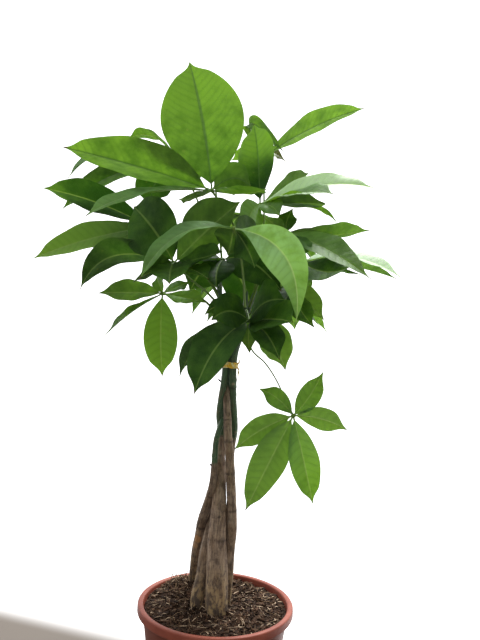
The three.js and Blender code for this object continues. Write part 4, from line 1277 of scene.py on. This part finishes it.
def make_splinters(material, avoid):
    """Pale flat splinters of wood among the bark, some of them standing up on the mound"""
    draw = np.random.default_rng(SPLINTER_SEED)
    piece = Piece("soil_splinters")
    faces = slab_faces(np.array([[0, 1, 4, 5], [1, 2, 3, 4]]))
    for x, y in scatter(draw, SPLINTER_COUNT, avoid):
        on_mound = math.exp(-((x - MOUND["x"]) ** 2 + (y - MOUND["y"]) ** 2) / (MOUND["spread"] ** 2))
        long = draw.uniform(1.6, 5.6)
        wide = draw.uniform(0.18, 0.5)
        thick = draw.uniform(0.12, 0.3)
        bend = draw.normal(0, 0.12) * long
        ahead = long * np.array([-1, 0, 1, 1, 0, -1])
        aside = wide * np.array([-0.35, -1, -0.2, 0.3, 1, 0.2]) + bend * np.array([0, 1, 0, 0, 1, 0])
        lift = np.array([0, 0.25, 0, 0, 0.25, 0]) * draw.uniform(0, 2)
        slab = [np.column_stack([ahead, aside, lift + thick]), np.column_stack([ahead, aside, lift - thick])]
        points = np.concatenate(slab) @ turned(draw, 0.22 + 0.45 * on_mound).T
        points = points + [x, y, soil_surface(x, y) + draw.uniform(0.5, 1.5) + 1.2 * on_mound]
        if farthest(points) <= SOIL_RADIUS - 0.8:
            piece.add(points, faces, shade=draw.uniform())
    piece.build([material], sharp=35)


# The tie

TIE_SIDES = 110
TIE_CREASE = 0.16
TIE_SEED = 47
# The band's section: how far each point is out from the stems, and its height as a share of half the band's
TIE_SECTION = [
    [0.15, -1], [0.55, -1.02], [0.8, -0.7], [0.5, -0.35], [0.85, 0], [0.5, 0.4], [0.85, 0.72], [0.6, 1.02],
    [0.15, 1], [0.05, 0.5], [0.05, -0.5],
]


def tight_outline(points):
    """The outline drawn tight round points of the plane, anticlockwise"""
    ordered = sorted(map(tuple, points))

    def chain(row):
        kept = []
        for p in row:
            while len(kept) > 1:
                (ax, ay), (bx, by) = kept[-2:]
                if (bx - ax) * (p[1] - ay) > (by - ay) * (p[0] - ax):
                    break
                kept.pop()
            kept.append(p)
        return kept[:-1]

    return np.array(chain(ordered) + chain(ordered[::-1]))


def make_tie(material):
    """The tie: a creased foil band pulled tight round the stems, and its twisted ends"""
    draw = np.random.default_rng(TIE_SEED)
    circles = []
    for rows in STEMS.values():
        row = min(rows, key=lambda r: abs(r[1] - TIE_Z))
        circles.append(place(row)[:2] + round_points(row[3] + GAP + 0.25, circle(24), 0)[:, :2])
    outline = tight_outline(np.concatenate(circles))
    loop = np.vstack([outline, outline[:1]])
    lengths = arc_lengths(loop)
    spots = np.linspace(0, lengths[-1], TIE_SIDES, endpoint=False)
    line = np.stack([np.interp(spots, lengths, loop[:, k]) for k in range(2)], -1)
    ahead = unit(np.roll(line, -1, 0) - np.roll(line, 1, 0))
    out = np.stack([ahead[:, 1], -ahead[:, 0]], -1)
    share = circle(TIE_SIDES)
    height = TIE_Z + 0.6 * np.sin(share + 0.8)
    corners = len(TIE_SECTION)
    crease = TIE_CREASE * draw.normal(0, 1, (TIE_SIDES, corners))
    points = np.empty((TIE_SIDES, corners, 3))
    for k, (off, rise) in enumerate(TIE_SECTION):
        points[:, k, :2] = line + out * (off + crease[:, [k]] * (off > 0.4))
        points[:, k, 2] = height + rise * (TIE_HEIGHT / 2 - 0.4) + 0.25 * np.sin(9 * share + k)
    around = np.arange(corners)
    after = np.roll(around, -1)
    last = (TIE_SIDES - 1) * corners
    close = np.stack([last + around, last + after, after, around], -1)
    piece = Piece("tie_fine")
    piece.add(points, [grid_faces(TIE_SIDES, corners, True), close])
    for ends in TIE_ENDS:
        centres, _ = smooth_curve(ends, 10)
        twist = np.linspace(0, 9, len(centres))[:, None]
        add_tube(piece, centres, 0.62 + 0.28 * np.cos(2 * (circle(10) - twist)), 10)
    piece.build([material], ["tie"], sharp=50)


# Everything together

leaf_looks = [leaf_material(), stalk_material()]
bark = bark_material()

stem_lines = {}
for number, (stem_name, stem_rows) in enumerate(STEMS.items()):
    stem_lines[stem_name] = make_stem(number, stem_name, stem_rows, bark)

for number, (leaf_name, row) in enumerate(FRONT_LEAVES.items()):
    stem_name, root_at, tone, stalk, hub_row, *leaflet_rows = row
    leaf_hub = place(hub_row)
    leaf_root = point_at(stem_lines[stem_name], root_at)
    leaflets = front_leaflets(leaf_hub, leaflet_rows)
    make_leaf(leaf_name, leaf_root, [place(p) for p in stalk], leaf_hub, leaflets, number, tone, leaf_looks)

for number, (leaf_name, row) in enumerate(BACK_LEAVES.items()):
    stem_name, root_at, heading, distance, height, *spread = row
    turn = math.radians(heading)
    leaf_hub = np.array([distance * math.sin(turn), distance * math.cos(turn), height])
    leaf_root = point_at(stem_lines[stem_name], root_at)
    stalk_pass = leaf_root + (leaf_hub - leaf_root) * BACK_STALK_BEND + [0, 0, BACK_STALK_RISE]
    leaflets = back_leaflets(leaf_hub, heading, *spread)
    tone = BACK_TONES[number % len(BACK_TONES)]
    seed = FIRST_BACK_SEED + number
    make_leaf(leaf_name, leaf_root, [stalk_pass], leaf_hub, leaflets, seed, tone, leaf_looks)

make_pot(pot_material())
make_soil(soil_material())
stem_feet = []
for rows in STEMS.values():
    right, _, front, radius = rows[1]
    stem_feet.append((*place([right, SOIL_LEVEL, front])[:2], radius - 0.6))
make_chips(litter_material("bark_chips", "#1a110c", "#493425", 300), stem_feet)
make_fibres(litter_material("coir_fibre", "#38281c", "#947a5f", 500), stem_feet)
make_splinters(litter_material("wood_splinters", "#4a3a2e", "#bda68c", 500), stem_feet)
make_tie(foil_material())

# The floor, the light and the camera

FLOOR_FRONT = -1.4
FLOOR_BACK = 0.29
FLOOR_SIDE = 1.5

floor_mesh = bpy.data.meshes.new("floor")
floor_corners = [
    (-FLOOR_SIDE, FLOOR_FRONT, 0), (FLOOR_SIDE, FLOOR_FRONT, 0),
    (FLOOR_SIDE, FLOOR_BACK, 0), (-FLOOR_SIDE, FLOOR_BACK, 0),
]
floor_mesh.from_pydata(floor_corners, [], [[0, 1, 2, 3]])
floor_mesh.materials.append(floor_material())
floor = new_object("floor", floor_mesh)


def area_light(name, spot, aim, size, power):
    """A soft square light aimed at a point"""
    data = bpy.data.lights.new(name, "AREA")
    data.size = size
    data.energy = power
    light = new_object(name, data)
    light.location = spot
    right, back, up = np.array(aim) - np.array(spot)
    heading = math.atan2(back, right) - math.pi / 2
    light.rotation_euler = (math.atan2(math.hypot(right, back), -up), 0, heading)


area_light("high_back_light", spot=(0.5, 1.2, 2.3), aim=(0, 0, 0.5), size=0.6, power=110)
area_light("front_fill", spot=(-0.9, -1.7, 1.6), aim=(0, 0, 0.4), size=1.2, power=6)
area_light("low_front_fill", spot=(-0.1, -1.4, 0.2), aim=(0, 0, 0.45), size=0.8, power=3.5)

# A white room, brighter at the back and above
room = Look("studio", "worlds")
_, back, up = room.parts(room.add("TexCoord").outputs["Generated"])
brightness = room.step(room.scaled(up, 0.8, back), -0.4, 0.9, 0.2, 1.9)
background = room.add("Background", {"Color": (1, 1, 1, 1), "Strength": brightness})
room.add("OutputWorld", {"Surface": background.outputs[0]})
bpy.context.scene.world = room.made

camera_data = bpy.data.cameras.new("camera")
camera_data.sensor_width = SENSOR
camera_data.lens = LENS
camera_data.clip_start = 0.01
camera = new_object("camera", camera_data)
camera.location = EYE * MM
camera.rotation_euler = (math.pi / 2, -EYE_ROLL, 0)
bpy.context.scene.camera = camera
bpy.context.scene.view_settings.view_transform = "Standard"
